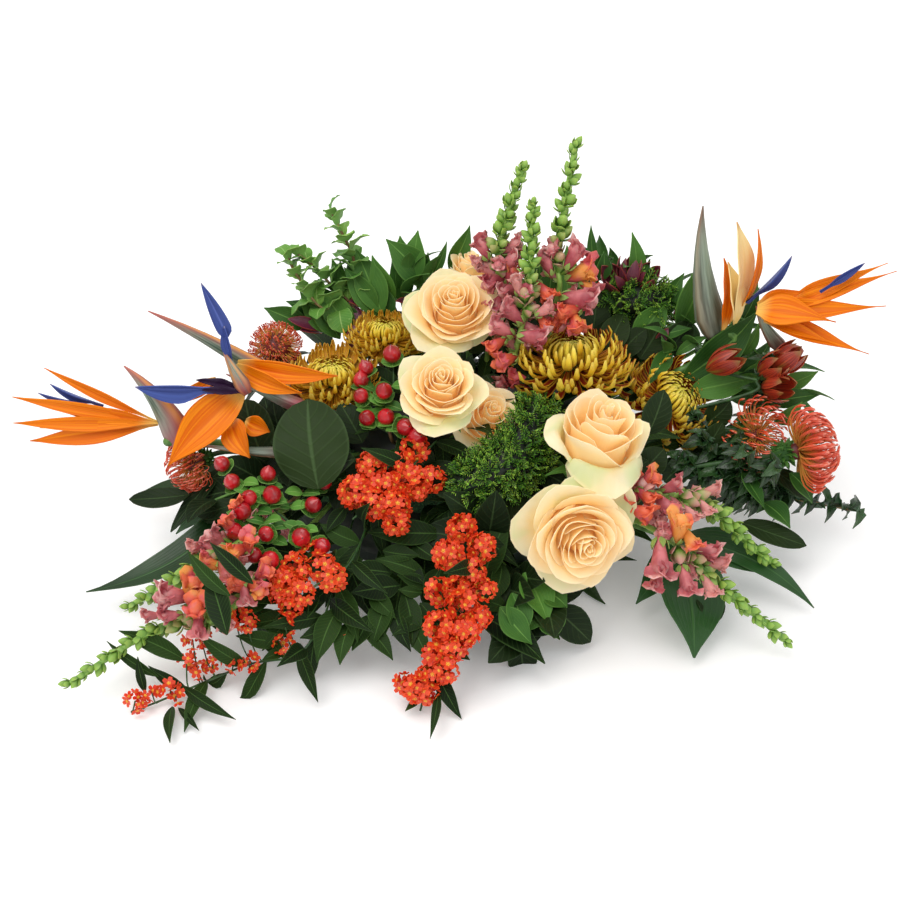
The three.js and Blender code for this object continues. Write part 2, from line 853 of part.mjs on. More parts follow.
function openMouth(path, t, order, size) {
  return [1, 0.85, 0.7, 0.55].map((share) => () => {
    const { at, way } = shoot(path, t, order * goldenAngle, radians(66));
    const frame = frameAt(at, way, order * 40);
    const grown = size * share;
    const ring = (radius, height, flat) => {
      return [0, 1, 2, 3].map((k) => {
        const angle = (k * Math.PI) / 2;
        const point = new THREE.Vector3(Math.cos(angle) * radius, Math.sin(angle) * radius * flat, height);
        return point.multiplyScalar(grown).applyMatrix4(frame);
      });
    };
    return solidOf(skin([ring(1.6, 0, 1), ring(9.5, 21, 0.7)]));
  });
}

function closedBud(path, t, order, size) {
  return [1, 0.8].map((share) => () => {
    const { at, way } = shoot(path, t, order * goldenAngle, radians(48));
    const length = 20 * size * share;
    return egg(at.addScaledVector(way, length * 0.42), way, 6.4 * size * share, length, 4, 2);
  });
}

// Hypericum: branching twigs that end in a berry.

const hypericums = [
  {
    name: "hypericum_mid",
    foot: [-41, -4, 88],
    places: [seen(392, 440, 118), seen(384, 405, 136)],
    berries: [
      seen(392, 354, 164),
      seen(366, 368, 158),
      seen(361, 396, 148),
      seen(384, 391, 154),
      seen(367, 418, 138),
      seen(405, 427, 138),
      seen(417, 436, 134),
    ],
  },
  {
    name: "hypericum_left",
    foot: [-93, -21, 82],
    places: [seen(285, 505, 96), seen(256, 505, 98)],
    berries: [
      seen(223, 465, 118),
      seen(209, 459, 112),
      seen(268, 474, 116),
      seen(249, 498, 112),
      seen(234, 532, 96),
      seen(267, 534, 100),
      seen(254, 554, 88),
      seen(322, 545, 96),
    ],
  },
];

function makeHypericum({ name, foot, places, berries }) {
  const piece = newPiece(name, looks.berry);
  const path = plant(piece, foot, 1.8, (start) => stemThrough(start, places));
  growth.push(() => {
    for (const centre of berries) {
      const t = 0.55 + 0.44 * ((centre.x * 0.618) ** 2 % 1);
      const fork = path.getPointAt(t);
      piece.offer(berryOnTwig(fork, centre));
    }
  });
}

function berryOnTwig(fork, centre) {
  const shifts = [[0, 0, 0], [0, 0, 7], [0, -6, 3], [6, 0, 3], [-6, 0, 3], [0, 0, 14], [0, -10, 8]];
  return shifts.map(([x, y, z]) => () => {
    const goal = centre.clone().add(new THREE.Vector3(x, y, z));
    const way = goal.clone().sub(fork).normalize().addScaledVector(Z, 0.35).normalize();
    const twig = needle([fork, goal], 1.1);
    return twig.add(egg(goal, way, 6, 13, 4, 3));
  });
}

// A flat pointed star: the petals of a small floret.
function star(centre, way, reach, waist, points, thick) {
  const frame = frameAt(centre, way);
  const rim = [];
  for (let i = 0; i < points * 2; i++) {
    const angle = (i / points) * Math.PI;
    const radius = i % 2 ? waist : reach;
    const point = new THREE.Vector3(Math.cos(angle) * radius, Math.sin(angle) * radius, 0);
    if (i % 2 === 0) point.z = reach * 0.3;
    rim.push(point.applyMatrix4(frame));
  }
  const end = (side) => [new THREE.Vector3(0, 0, side * thick).applyMatrix4(frame)];
  return solidOf(skin([end(-1), rim, end(1)]));
}

// Scarlet euphorbia sprays: arching stems with narrow leaves and clusters of small starry florets.

const sprays = [
  {
    name: "euphorbia_mid",
    foot: [-23, -30, 86],
    places: [seen(436, 430, 132), seen(404, 462, 128), seen(352, 508, 104)],
    florets: 8,
    span: [0.5, 1],
    cluster: 26,
    leaves: 2,
  },
  {
    name: "euphorbia_front",
    foot: [12, -42, 74],
    places: [seen(474, 545, 96), seen(446, 610, 66), seen(420, 700, 16)],
    florets: 9,
    span: [0.42, 0.98],
    cluster: 19,
    leaves: 5,
  },
  {
    name: "euphorbia_left",
    foot: [-55, -40, 76],
    places: [seen(352, 548, 92), seen(318, 572, 86), seen(278, 604, 62)],
    florets: 7,
    span: [0.55, 1],
    cluster: 20,
    leaves: 5,
  },
  {
    name: "euphorbia_trailing",
    foot: [-73, -46, 63],
    places: [seen(312, 628, 50), seen(240, 656, 30), seen(130, 702, 12)],
    florets: 7,
    span: [0.4, 1],
    cluster: 12,
    leaves: 6,
  },
];

function makeSpray({ name, foot, places, florets, span, cluster, leaves }) {
  const piece = newPiece(name, looks.scarlet);
  const path = plant(piece, foot, 1.7, (start) => stemThrough(start, places));
  growth.push(() => {
    for (let i = 0; i < florets; i++) {
      const t = span[0] + ((span[1] - span[0]) * (i + 0.5)) / florets;
      const reach = cluster * (0.55 + 0.45 * ((i * 0.618) % 1));
      piece.grow(floretOnTwig(path, t, i * goldenAngle, reach));
    }
  });
  unfolding.push(() => {
    for (let i = 0; i < leaves; i++) {
      const t = 0.3 + (0.66 * (i + 0.5)) / leaves;
      piece.grow(stemLeaf(path, t, i * goldenAngle, { length: 58, width: 15, lean: 62 }));
    }
  });
}

const unfolding = []; // leaves that fill the room which the flowers leave

function floretOnTwig(path, t, turn, reach) {
  const lifts = [[0, 1], [0.5, 1], [-0.5, 1], [1, 0.85], [-1, 0.85], [0.2, 0.6]];
  return lifts.map(([twist, share]) => () => {
    const { at, way } = shoot(path, t, turn + twist, radians(72));
    const facing = way.clone().addScaledVector(outwardAt(at), 0.8).normalize();
    const seat = at.clone().addScaledVector(way, reach * share);
    const twig = needle([at, seat.clone().addScaledVector(facing, 1)], 1.1);
    return twig.add(star(seat, facing, 7.2, 3.4, 5, 1.6));
  });
}

// The way that leaves look at a place: up and away from the middle of the foam.
function outwardAt(point) {
  return new THREE.Vector3(point.x / 300, point.y / 150 - 0.15, 1).normalize();
}

function stemLeaf(path, t, turn, { length, width, lean = 55, bow = 0.08, fold = 0.2 }) {
  const { at, way } = shoot(path, t, turn, radians(lean));
  const heading = way.clone().addScaledVector(outwardAt(at), 0.3).normalize();
  const base = at.clone().addScaledVector(heading, 3);
  const tip = at.clone().addScaledVector(heading, length * (1.05 - 0.35 * t));
  return leafChoices(at, base, tip, width, { bow, fold, face: outwardAt(tip) });
}

// Green brush heads: a small heart bristling with straight needles.

const brushes = [
  {
    name: "trachelium_mid",
    centre: seen(500, 462, 118),
    reach: 46,
    foot: [16, -23, 88],
    needles: 25,
    facing: towards(20, 55),
  },
  {
    name: "trachelium_back",
    centre: seen(636, 304, 150),
    reach: 38,
    foot: [71, 32, 86],
    needles: 18,
    facing: towards(90, 70),
  },
];

function makeBrush({ name, centre, reach, foot, needles, facing }) {
  const piece = newPiece(name, looks.brush);
  piece.add(egg(centre, facing, reach * 0.42, reach * 0.9, 6, 3));
  const seat = centre.clone().addScaledVector(facing, -reach * 0.3);
  plant(piece, foot, 2.2, (start) => stemTo(start, seat, facing));
  growth.push(() => {
    const frame = frameAt(new THREE.Vector3(), facing);
    for (let i = 0; i < needles; i++) {
      const rise = 1 - (1.45 * (i + 0.5)) / needles;
      const radial = new THREE.Vector3(Math.cos(i * goldenAngle), Math.sin(i * goldenAngle), 0);
      const way = radial.multiplyScalar(Math.sqrt(1 - rise * rise)).addScaledVector(Z, rise);
      way.transformDirection(frame);
      const root = centre.clone().addScaledVector(way, reach * 0.3);
      const to = (share) => () => needle([root, centre.clone().addScaledVector(way, reach * share)], 2.2);
      piece.offer([to(1 + 0.2 * Math.sin(i * 2.4)), to(0.85), to(0.65)]);
    }
  });
}

// Dark red lilies: petals round a throat, several flowers on one stem.

const lilies = [
  {
    name: "alstroemeria_right",
    foot: [105, 12, 80],
    places: [seen(742, 396, 120), seen(757, 380, 132)],
    flowers: [
      [seen(741, 366, 142), towards(-20, 50)],
      [seen(784, 376, 132), towards(40, 45)],
    ],
  },
  {
    name: "alstroemeria_back",
    foot: [73, 51, 73],
    places: [new THREE.Vector3(146, 148, 110), seen(655, 268, 164)],
    flowers: [
      [seen(634, 256, 182), towards(-120, 55)],
      [seen(668, 268, 174), towards(120, 50)],
    ],
  },
];

function makeLily({ name, foot, places, flowers }) {
  const piece = newPiece(name, looks.lilyRed);
  const path = plant(piece, foot, 2, (start) => stemThrough(start, places));
  growth.push(() => {
    const fork = path.getPointAt(0.99);
    for (const [centre, facing] of flowers) {
      const seat = centre.clone().addScaledVector(facing, -16);
      const throat = () => {
        const twig = needle([fork, seat], 1.8);
        return twig.add(egg(seat.clone().addScaledVector(facing, 5), facing, 5, 22, 4, 3));
      };
      if (!piece.offer([throat])) continue;
      const frame = frameAt(seat, facing);
      for (let i = 0; i < 5; i++) {
        const angle = (i / 5) * 2 * Math.PI;
        const radial = new THREE.Vector3(Math.cos(angle), Math.sin(angle), 0);
        const at = (out, up) => {
          return radial.clone().multiplyScalar(out).addScaledVector(Z, up).applyMatrix4(frame);
        };
        piece.offer(leafChoices(at(1, 4), at(4, 9), at(22, 34), 14, { bow: -0.16, face: facing }));
      }
    }
  });
}

// Foliage: branches from one stub in the foam, with leaves along them. Single big leaves may
// stand beside the branches.

const foliage = [
  {
    name: "privet_back_left",
    look: looks.privet,
    foot: [-39, 40, 84],
    fork: seen(345, 300, 152),
    branches: [seen(322, 206, 226), seen(284, 246, 192), seen(368, 246, 196)],
    leaf: { length: 28, width: 18, lean: 58 },
    count: 4,
  },
  {
    name: "ruscus_back_left",
    look: looks.ruscus,
    foot: [-18, 44, 82],
    fork: seen(402, 300, 150),
    branches: [seen(412, 246, 196), seen(440, 262, 190), seen(330, 300, 146)],
    leaf: { length: 52, width: 17, lean: 42 },
    count: 2,
  },
  {
    name: "ruscus_back_right",
    look: looks.ruscus,
    foot: [68, 44, 80],
    fork: seen(598, 288, 124),
    branches: [seen(592, 246, 190), seen(618, 250, 180), seen(690, 290, 150)],
    leaf: { length: 54, width: 17, lean: 42 },
    count: 2,
  },
  {
    name: "ruscus_right",
    look: looks.ruscus,
    foot: [100, 42, 73],
    fork: seen(704, 346, 100),
    branches: [seen(742, 318, 136), seen(790, 398, 96), seen(664, 352, 136)],
    leaf: { length: 60, width: 20, lean: 46 },
    count: 2,
  },
  {
    name: "privet_right",
    look: looks.privetDark,
    foot: [112, -33, 55],
    fork: seen(716, 486, 46),
    branches: [seen(846, 512, 40), seen(790, 480, 58), seen(716, 452, 84)],
    leaf: { length: 27, width: 18, lean: 60 },
    count: 4,
  },
  {
    name: "salal_left",
    look: looks.salal,
    foot: [-64, -18, 88],
    fork: seen(318, 462, 92),
    branches: [seen(306, 436, 116), seen(215, 500, 74), seen(350, 480, 96)],
    leaf: { length: 60, width: 38, lean: 50 },
    count: 2,
  },
  {
    name: "salal_front",
    look: looks.salal,
    foot: [36, -44, 67],
    fork: seen(500, 560, 58),
    branches: [seen(520, 640, 20), seen(552, 606, 40), seen(470, 500, 100)],
    leaf: { length: 56, width: 32, lean: 50 },
    count: 2,
  },
  {
    name: "aspidistra_left",
    look: looks.salal,
    foot: [-112, -30, 54],
    fork: seen(245, 486, 58),
    branches: [],
    blades: [
      [seen(86, 592, 18), 40, 0.08],
      [seen(132, 498, 36), 24, 0.04],
      [seen(176, 534, 22), 26, 0.06],
      [seen(212, 522, 46), 22, 0.06],
    ],
  },
  {
    name: "aspidistra_right",
    look: looks.salal,
    foot: [100, -42, 54],
    fork: seen(676, 540, 44),
    branches: [],
    blades: [
      [seen(812, 606, 14), 38, 0.05],
      [seen(694, 658, 10), 46, 0.04],
      [seen(636, 604, 26), 36, 0.06],
    ],
  },
  {
    name: "salal_back",
    look: looks.salal,
    foot: [5, 49, 74],
    fork: new THREE.Vector3(4, 92, 84),
    branches: [
      new THREE.Vector3(-150, 108, 66),
      new THREE.Vector3(160, 112, 66),
      new THREE.Vector3(-70, 160, 58),
      new THREE.Vector3(84, 160, 58),
    ],
    leaf: { length: 60, width: 36, lean: 52 },
    count: 2,
  },
];

function makeFoliage({ name, look, foot, fork, branches, leaf: form, count, blades = [] }) {
  const piece = newPiece(name, look);
  const stub = plant(piece, foot, 2.2, (start) => stemThrough(start, [fork]));
  const split = stub.getPointAt(0.985);
  const rise = stub.getTangentAt(0.985);
  const lines = branches.map((end) => branch(piece, split, rise, end)).filter(Boolean);
  unfolding.push(() => {
    for (const [tip, width, bow] of blades) {
      const base = split.clone().addScaledVector(tip.clone().sub(split), 0.12);
      piece.offer(leafChoices(split, base, tip, width, { bow, fold: 0.18, neck: 2, face: outwardAt(tip) }));
    }
    for (const line of lines) {
      const end = line.getPointAt(0.97);
      const beyond = end.clone().addScaledVector(line.getTangentAt(0.97), form.length);
      piece.grow(leafChoices(line.getPointAt(0.98), end, beyond, form.width, { face: outwardAt(end) }));
      for (let i = 0; i < count; i++) {
        const t = 0.12 + (0.82 * (i + 0.5)) / count;
        piece.grow(stemLeaf(line, t, i * goldenAngle, form));
      }
    }
  });
}

// A side branch that bows round what stands in its way, or none.
function branch(piece, from, rise, end) {
  const span = from.distanceTo(end);
  for (const share of [1, 0.85, 0.7, 0.55]) {
    for (const [x, y, z] of branchBends) {
      const goal = from.clone().lerp(end, share);
      const swing = new THREE.Vector3(x, y, z).multiplyScalar(span * 0.2);
      const middle = from.clone().lerp(goal, 0.5).addScaledVector(rise, span * 0.06).add(swing);
      const line = new THREE.QuadraticBezierCurve3(from, middle, goal.addScaledVector(swing, 0.3));
      const course = line.getSpacedPoints(3);
      if (piece.offer([() => tube(course, 1.4)])) return chain(course);
    }
  }
  return null;
}

const branchBends = [
  [0, 0, 0],
  [0, 0, 1],
  [0, 0, -1],
  [1, 0, 0],
  [-1, 0, 0],
  [0, 1, 0],
  [0, -1, 0],
  [1, 0, 1],
  [-1, 0, 1],
  [0, 1, 1],
  [0, -1, 1],
  [1, 1, -1],
  [-1, -1, -1],
];

// Assembly: stems and hearts, then flowers, then leaves, then the foam's holes

const roseSeats = roses.map(makeRoseBloom);
roses.forEach((rose, i) => makeRoseStem(rose, roseSeats[i]));
strelitzias.forEach(makeStrelitzia);
chrysanthemums.forEach(makeChrysanthemum);
pincushions.forEach(makePincushion);
snapdragons.forEach(makeSnapdragon);
brushes.forEach(makeBrush);
hypericums.forEach(makeHypericum);
sprays.forEach(makeSpray);
lilies.forEach(makeLily);
growth.forEach((grow) => grow());
foliage.forEach(makeFoliage);
unfolding.forEach((unfold) => unfold());

foamPiece.solids = [foamPiece.solids[0].subtract(wasm.Manifold.union(holes))];

const arrangement = new THREE.Group();
for (const piece of pieces) {
  const mesh = piece.whole().getMesh();
  const geometry = new THREE.BufferGeometry();
  geometry.setAttribute("position", new THREE.BufferAttribute(new Float32Array(mesh.vertProperties), 3));
  geometry.setIndex(new THREE.BufferAttribute(new Uint32Array(mesh.triVerts), 1));
  geometry.computeVertexNormals();
  const [color, roughness] = piece.look;
  const material = new THREE.MeshStandardMaterial({ color, roughness, metalness: 0 });
  const part = new THREE.Mesh(geometry, material);
  part.name = piece.name;
  arrangement.add(part);
}

export default arrangement;
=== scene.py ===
import math
import random
import bmesh
import bpy
from mathutils import Matrix, Vector


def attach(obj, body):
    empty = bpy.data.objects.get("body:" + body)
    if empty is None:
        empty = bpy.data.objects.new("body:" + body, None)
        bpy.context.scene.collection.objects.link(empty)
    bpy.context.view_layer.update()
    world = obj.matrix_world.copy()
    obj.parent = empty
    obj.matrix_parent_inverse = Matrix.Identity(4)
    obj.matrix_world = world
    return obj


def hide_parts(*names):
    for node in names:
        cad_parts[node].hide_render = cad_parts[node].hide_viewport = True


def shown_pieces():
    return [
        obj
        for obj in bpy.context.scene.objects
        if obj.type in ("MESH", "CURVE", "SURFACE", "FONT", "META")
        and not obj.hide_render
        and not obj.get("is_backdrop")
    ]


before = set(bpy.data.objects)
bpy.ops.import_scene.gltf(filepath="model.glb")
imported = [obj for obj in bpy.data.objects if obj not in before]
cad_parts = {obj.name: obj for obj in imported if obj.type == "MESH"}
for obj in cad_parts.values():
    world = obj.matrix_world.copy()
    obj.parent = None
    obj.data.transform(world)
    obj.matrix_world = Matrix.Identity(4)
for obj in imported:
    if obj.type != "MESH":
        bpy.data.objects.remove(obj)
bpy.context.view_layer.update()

# Places and sizes are written in millimetres, and meshes are made in metres.
mm = 0.001
up = Vector((0, 0, 1))
goldenAngle = math.radians(137.508)
scene = bpy.context.scene

# The view that the flowers were composed for, as in the part's source
view = {"elevation": 40, "distance": 2000, "mmPerPixel": 0.82, "middle": 450, "aimHeight": 75}


viewTilt = math.radians(view["elevation"])
viewBack = Vector((0, -math.cos(viewTilt), math.sin(viewTilt)))  # from the middle to the eye
viewAbove = Vector((0, math.sin(viewTilt), math.cos(viewTilt)))


def seen(column, row, height):
    # the point at a height that is seen at a column and row of the view
    back = viewBack * view["distance"]
    eye = back + up * view["aimHeight"]
    across = (column - view["middle"]) * view["mmPerPixel"]
    above = (view["middle"] - row) * view["mmPerPixel"]
    ray = Vector((across, above * math.sin(viewTilt), above * math.cos(viewTilt))) - back
    return eye + ray * ((height - eye.z) / ray.z)


def spot(place):
    # a place is a column, a row and a height in the view, or a vector in millimetres
    return place if isinstance(place, Vector) else seen(*place)


def ends(leaf):
    # root and tip of a leaf, given in the view, and its width
    return seen(*leaf[:3]), seen(*leaf[3:6]), leaf[6]


def towards(turn, rise):
    # a direction by its turn to the viewer's right and its rise above the horizon, in degrees
    a, e = math.radians(turn), math.radians(rise)
    return Vector((math.sin(a) * math.cos(e), -math.cos(a) * math.cos(e), math.sin(e)))


def frameAt(origin, facing, spin=0):
    # the frame of a bloom: origin at its seat, +Z the way it faces
    turn = up.rotation_difference(facing).to_matrix().to_4x4()
    return Matrix.Translation(origin) @ turn @ Matrix.Rotation(math.radians(spin), 4, "Z")


def turns(count, offset=0.0):
    return [2 * math.pi * (k + offset) / count for k in range(count)]


def around(angle, radius, height=0.0):
    return Vector((math.cos(angle) * radius, math.sin(angle) * radius, height))


def lathe(profile, sides, matrix=Matrix()):
    # rings of points about +Z of a frame, from heights and radii
    return [[matrix @ around(a, radius, height) for a in turns(sides)] for height, radius in profile]


def hexColour(code):
    parts = [int(code[i : i + 2], 16) / 255 for i in (0, 2, 4)]
    return tuple(p / 12.92 if p < 0.04045 else ((p + 0.055) / 1.055) ** 2.4 for p in parts) + (1,)


# Nodes: one class for a socket's value and one for a tree


class Wire:
    def __init__(self, web, socket):
        self.web, self.socket = web, socket

    def of(self, name):
        return Wire(self.web, self.socket.node.outputs[name])

    def __truediv__(self, other):
        return self.web.calc("DIVIDE", self, other)

    def __pow__(self, other):
        return self.web.calc("POWER", self, other)


for sign, operation in (("add", "ADD"), ("sub", "SUBTRACT"), ("mul", "MULTIPLY")):
    setattr(Wire, f"__{sign}__", lambda a, b, operation=operation: a.web.calc(operation, a, b))
    setattr(Wire, f"__r{sign}__", lambda a, b, operation=operation: a.web.calc(operation, b, a))


class Web:
    def __init__(self, tree):
        self.tree = tree

    def add(self, kind, settings=None, links=None):
        node = self.tree.nodes.new(kind)
        for name, value in (settings or {}).items():
            if name == "stops":
                self.setStops(node.color_ramp, value)
            else:
                setattr(node, name, value)
        for name, value in (links or {}).items():
            if isinstance(name, int):
                socket = node.inputs[name]
            else:
                socket = next(s for s in node.inputs if s.name == name and s.enabled)
            if isinstance(value, Wire):
                self.tree.links.new(value.socket, socket)
            else:
                socket.default_value = value
        return Wire(self, next((s for s in node.outputs if s.enabled), None))

    def setStops(self, ramp, stops):
        while len(ramp.elements) < len(stops):
            ramp.elements.new(0.5)
        for element, (place, colour) in zip(ramp.elements, stops):
            element.position, element.color = place, colour

    def calc(self, operation, *values):
        return self.add("ShaderNodeMath", {"operation": operation}, dict(enumerate(values)))

    def clamp(self, value):
        return self.add("ShaderNodeClamp", None, {"Value": value})

    def ease(self, value, low, high):
        # 0 below low, 1 above high, smooth between
        links = {"Value": value, "From Min": low, "From Max": high}
        return self.add("ShaderNodeMapRange", {"interpolation_type": "SMOOTHSTEP"}, links)

    def mix(self, factor, first, second):
        first, second = (hexColour(c) if isinstance(c, str) else c for c in (first, second))
        return self.add("ShaderNodeMix", {"data_type": "RGBA"}, {"Factor": factor, "A": first, "B": second})

    def paint(self, body, *layers):
        # lays colours over a body, each where its mask says
        for mask, colour in layers:
            body = self.mix(mask, body, colour)
        return body

    def vector(self, operation, *values):
        return self.add("ShaderNodeVectorMath", {"operation": operation}, dict(enumerate(values)))

    def scaled(self, vector, amount):
        return self.add("ShaderNodeVectorMath", {"operation": "SCALE"}, {"Vector": vector, "Scale": amount})

    def combine(self, x, y, z):
        return self.add("ShaderNodeCombineXYZ", None, {"X": x, "Y": y, "Z": z})


# Materials

class Finish(Web):
    # a material on one Principled shader, with the patterns that petals and leaves share
    def __init__(self, name, **constants):
        self.material = bpy.data.materials.new(name)
        self.material.use_nodes = True
        super().__init__(self.material.node_tree)
        self.shader = self.tree.nodes["Principled BSDF"]
        for key, value in constants.items():
            self.shader.inputs[key.replace("_", " ")].default_value = value
        self.place = self.add("ShaderNodeTexCoord").of("Object")
        uv = self.add("ShaderNodeSeparateXYZ", None, {0: self.add("ShaderNodeUVMap", {"uv_map": "UVMap"})})
        self.across, self.along = uv.of("X"), uv.of("Y")

    def named(self, name):
        return self.add("ShaderNodeAttribute", {"attribute_name": name}).of("Fac")

    def noise(self, scale, detail=2.0, where=None):
        links = {"Vector": where or self.place, "Scale": scale, "Detail": detail}
        return self.add("ShaderNodeTexNoise", None, links)

    def streaks(self, fine, length=1.5):
        # grain that runs along a petal
        where = self.combine(self.across * fine, self.along * length, self.named("tone") * 9)
        return self.noise(1.0, 2.0, where)

    def edge(self):
        return self.calc("ABSOLUTE", self.across - 0.5) * 2

    def feed(self, name, value):
        self.tree.links.new(value.socket, self.shader.inputs[name])
        return self

    def beneath(self):
        # 1 on the lower side of a sheet
        return self.ease(self.named("under"), 0.45, 0.55)

    def done(self, body, relief=None, strength=0.3, distance=0.001):
        # gives the material its colour, and its relief if it has one
        self.feed("Base Color", body)
        if relief:
            links = {"Height": relief, "Strength": strength, "Distance": distance}
            self.feed("Normal", self.add("ShaderNodeBump", None, links))
        return self.material



rosePetalLook = {
    "heart": "f8b662", "petal": "fdd794", "pale": "feeabe", "guard": "f6eec2", "green": "d2de9c",
    # paintedGlow: the petals give off a faint light in their own colour, painted light that lifts the shade
    # between the petals
    "paintedGlow": 0.08, "veins": 26,
}


def makeRosePetal():
    look = rosePetalLook
    f = Finish(
        "rosePetalSkin", Roughness=0.6, Specular_IOR_Level=0.2, Emission_Strength=look["paintedGlow"],
        Subsurface_Weight=0.35, Subsurface_Scale=0.008, Subsurface_Radius=(1.0, 0.6, 0.35),
    )
    out, veins = f.named("out"), f.streaks(look["veins"], 1.0)
    rim = f.ease(out, 0.72, 1.0) * f.ease(f.along + f.edge() * 0.4 + f.noise(50, 2) * 0.5, 0.7, 1.5)
    body = f.paint(
        f.mix(f.ease(f.along + out * 0.2, 0.5, 0.95), look["heart"], look["petal"]),
        (f.ease(f.along + out * 0.16, 0.85, 1.1) * 0.75, look["pale"]),
        (f.ease(f.noise(30, 3), 0.45, 0.8) * 0.25, look["petal"]),
        (rim * 0.8, look["guard"]),
        (f.ease(out, 0.84, 0.97) * f.ease(f.noise(22, 2), 0.4, 0.62) * 0.8, look["green"]),
        # painted highlight: a paler band along the thin upper edge of each petal, where it catches the light
        (f.ease(f.along, 0.955, 1.0) * 0.5, look["pale"]),
        (veins * 0.14, look["petal"]),
    )
    # painted glow: the petal colour is also given off as faint light, lightening the shade in the gaps between
    # petals
    f.feed("Emission Color", body).feed("Roughness", 0.52 + veins * 0.18)
    return f.done(body, veins + f.noise(420, 2) * 0.3, 0.2, 0.0007)


def makeFloret():
    # bronze chrysanthemum: yellow backs, dark red insides, and gold insides where palate says so
    f = Finish(
        "bronzeFloretSkin", Roughness=0.5, Subsurface_Weight=0.08, Subsurface_Scale=0.002,
        Specular_IOR_Level=0.3,
    )
    grain, fine = f.streaks(14), f.streaks(8)
    back = f.paint(
        f.mix(f.named("tone"), "e4b41c", "fadc44"),
        (f.ease(1 - f.named("out"), 0.5, 0.95) * 0.7, "c3c338"),
        (f.ease(f.along, 0.8, 1.0) * 0.6, "f5e272"),
        (f.ease(1 - f.along, 0.5, 1.0) * 0.6, "94700f"),
    )
    inside = f.paint(
        f.mix(fine, "6e1408", "a83c16"),
        (f.ease(f.edge(), 0.7, 1.0) * 0.8, "d8a52a"),
        (f.named("palate"), f.mix(fine, "cf9c20", back)),
    )
    body = f.paint(f.mix(f.beneath(), inside, back), (f.ease(grain, 0.5, 0.8) * 0.25, "96590e"))
    return f.done(body, grain, 0.4, 0.0006)


def makeSepal():
    # orange strelitzia sepals, pale where they leave the spathe; out makes a whole sepal pale
    f = Finish("orangeSepalSkin", Roughness=0.45, Specular_IOR_Level=0.2)
    grain = f.streaks(14, 0.8)
    body = f.paint(
        f.mix(f.ease(grain, 0.3, 0.75), "da6400", "f28c06"),
        (f.ease(1 - f.edge(), 0.75, 1.0) * 0.35, "c95203"),
        (f.named("out"), f.mix(grain, "f8e4b0", "f0cc78")),
        (f.ease(1 - f.along, 0.78, 1.0) * 0.8, "f5cf6d"),
        (f.ease(f.along, 0.9, 1.0) * 0.5, "b8530e"),
    )
    return f.done(body, grain, 0.45, 0.0015)


def makeTongue():
    f = Finish("blueTongueSkin", Roughness=0.45, Specular_IOR_Level=0.3)
    grain = f.streaks(10, 1.0)
    body = f.paint(
        f.mix(grain * (0.4 + f.named("tone") * 0.7), "1c2462", "5068b6"),
        (f.ease(1 - f.edge(), 0.8, 1.0) * 0.6, "6678c4"),
        (f.ease(f.along, 0.93, 1.0), "8b86a0"),
        (f.named("out"), "2a1230"),
    )
    return f.done(body, grain, 0.4, 0.0012)


def makeSpathe():
    # grey-green beak with a red lip
    f = Finish("spatheSkin", Roughness=0.42, Coat_Weight=0.12, Coat_Roughness=0.35)
    grain = f.noise(1.0, 3, f.combine(f.across * 14, f.along * 2.5, 0.0))
    upper, red = f.edge(), f.named("out")
    body = f.paint(
        f.mix(f.ease(grain, 0.3, 0.7), "34503f", "8a9c8a"),
        (f.ease(upper, 0.4, 0.75) * f.ease(f.noise(16), 0.3, 0.6) * red * 0.8, "b0544a"),
        (f.ease(upper, 0.6, 0.8) * (1 - f.ease(upper, 0.8, 0.95)) * red, "d8903c"),
        (f.ease(1 - f.along, 0.5, 0.95) * f.ease(f.noise(14), 0.3, 0.6) * red, "9c3246"),
        (f.ease(f.along, 0.55, 1.0) * (red * 0.8 + 0.15), "b05a50"),
    )
    f.feed("Roughness", 0.34 + grain * 0.22)
    return f.done(body, grain, 0.25, 0.0015)


def makeStyle():
    # pincushion styles: yellow-green at the root, coral red above, pink knob
    f = Finish("pincushionStyleSkin", Roughness=0.4)
    return f.done(f.paint(
        f.mix(f.ease(f.along, 0.16, 0.72), "c0a440", "d84c28"),
        (f.named("tone") * 0.6, "b8262a"),
        (f.ease(f.along, 0.86, 1.0) * 0.9, "ee9c88"),
        (f.noise(300) * 0.25, "e8703c"),
    ))


def makeSnapPetal():
    # snapdragon flower: pink or flame by its tone, with a yellow palate and a green foot
    f = Finish("snapdragonSkin", Roughness=0.5, Subsurface_Weight=0.15, Subsurface_Scale=0.003)
    tone, grain, palate = f.named("tone"), f.streaks(20), f.named("palate")
    pink = f.paint(
        f.mix(f.ease(f.noise(70, 3), 0.34, 0.66), "96283a", "cb7074"),
        (f.ease(tone, 0.3, 0.0) * 0.6, "dca094"),
        (f.ease(f.along, 0.5, 1.0) * f.ease(f.noise(110, 2), 0.38, 0.62) * 0.8, "e8bab2"),
    )
    flame = f.paint(
        f.mix(f.ease(f.along, 0.2, 0.9), "b4301c", "e8683a"),
        (f.ease(f.noise(60, 2), 0.48, 0.6) * 0.75, "cf5468"),
        (f.ease(f.noise(42, 1), 0.55, 0.66) * 0.8, "eea238"),
    )
    body = f.paint(
        f.mix(f.ease(tone, 0.58, 0.64), pink, flame),
        (f.clamp(palate) * f.ease(tone, 0.2, 0.5), "eda01c"),
        (f.clamp(0 - palate), "7fa548"),
        (grain * 0.15, "e09a94"),
    )
    return f.done(body, grain, 0.4, 0.0008)


def makeBud():
    f = Finish("snapdragonBudSkin", Roughness=0.48, Subsurface_Weight=0.1, Subsurface_Scale=0.003)
    body = f.paint(
        f.mix(f.ease(f.along, 0.1, 0.95), "4a7a22", "98bc52"),
        (f.named("tone") * 0.5, "7ca544"),
        (f.ease(1 - f.named("out"), 0.62, 1.0) * f.ease(f.along, 0.35, 0.8) * 0.9, "c98a86"),
    )
    return f.done(body, f.noise(500), 0.25, 0.0006)


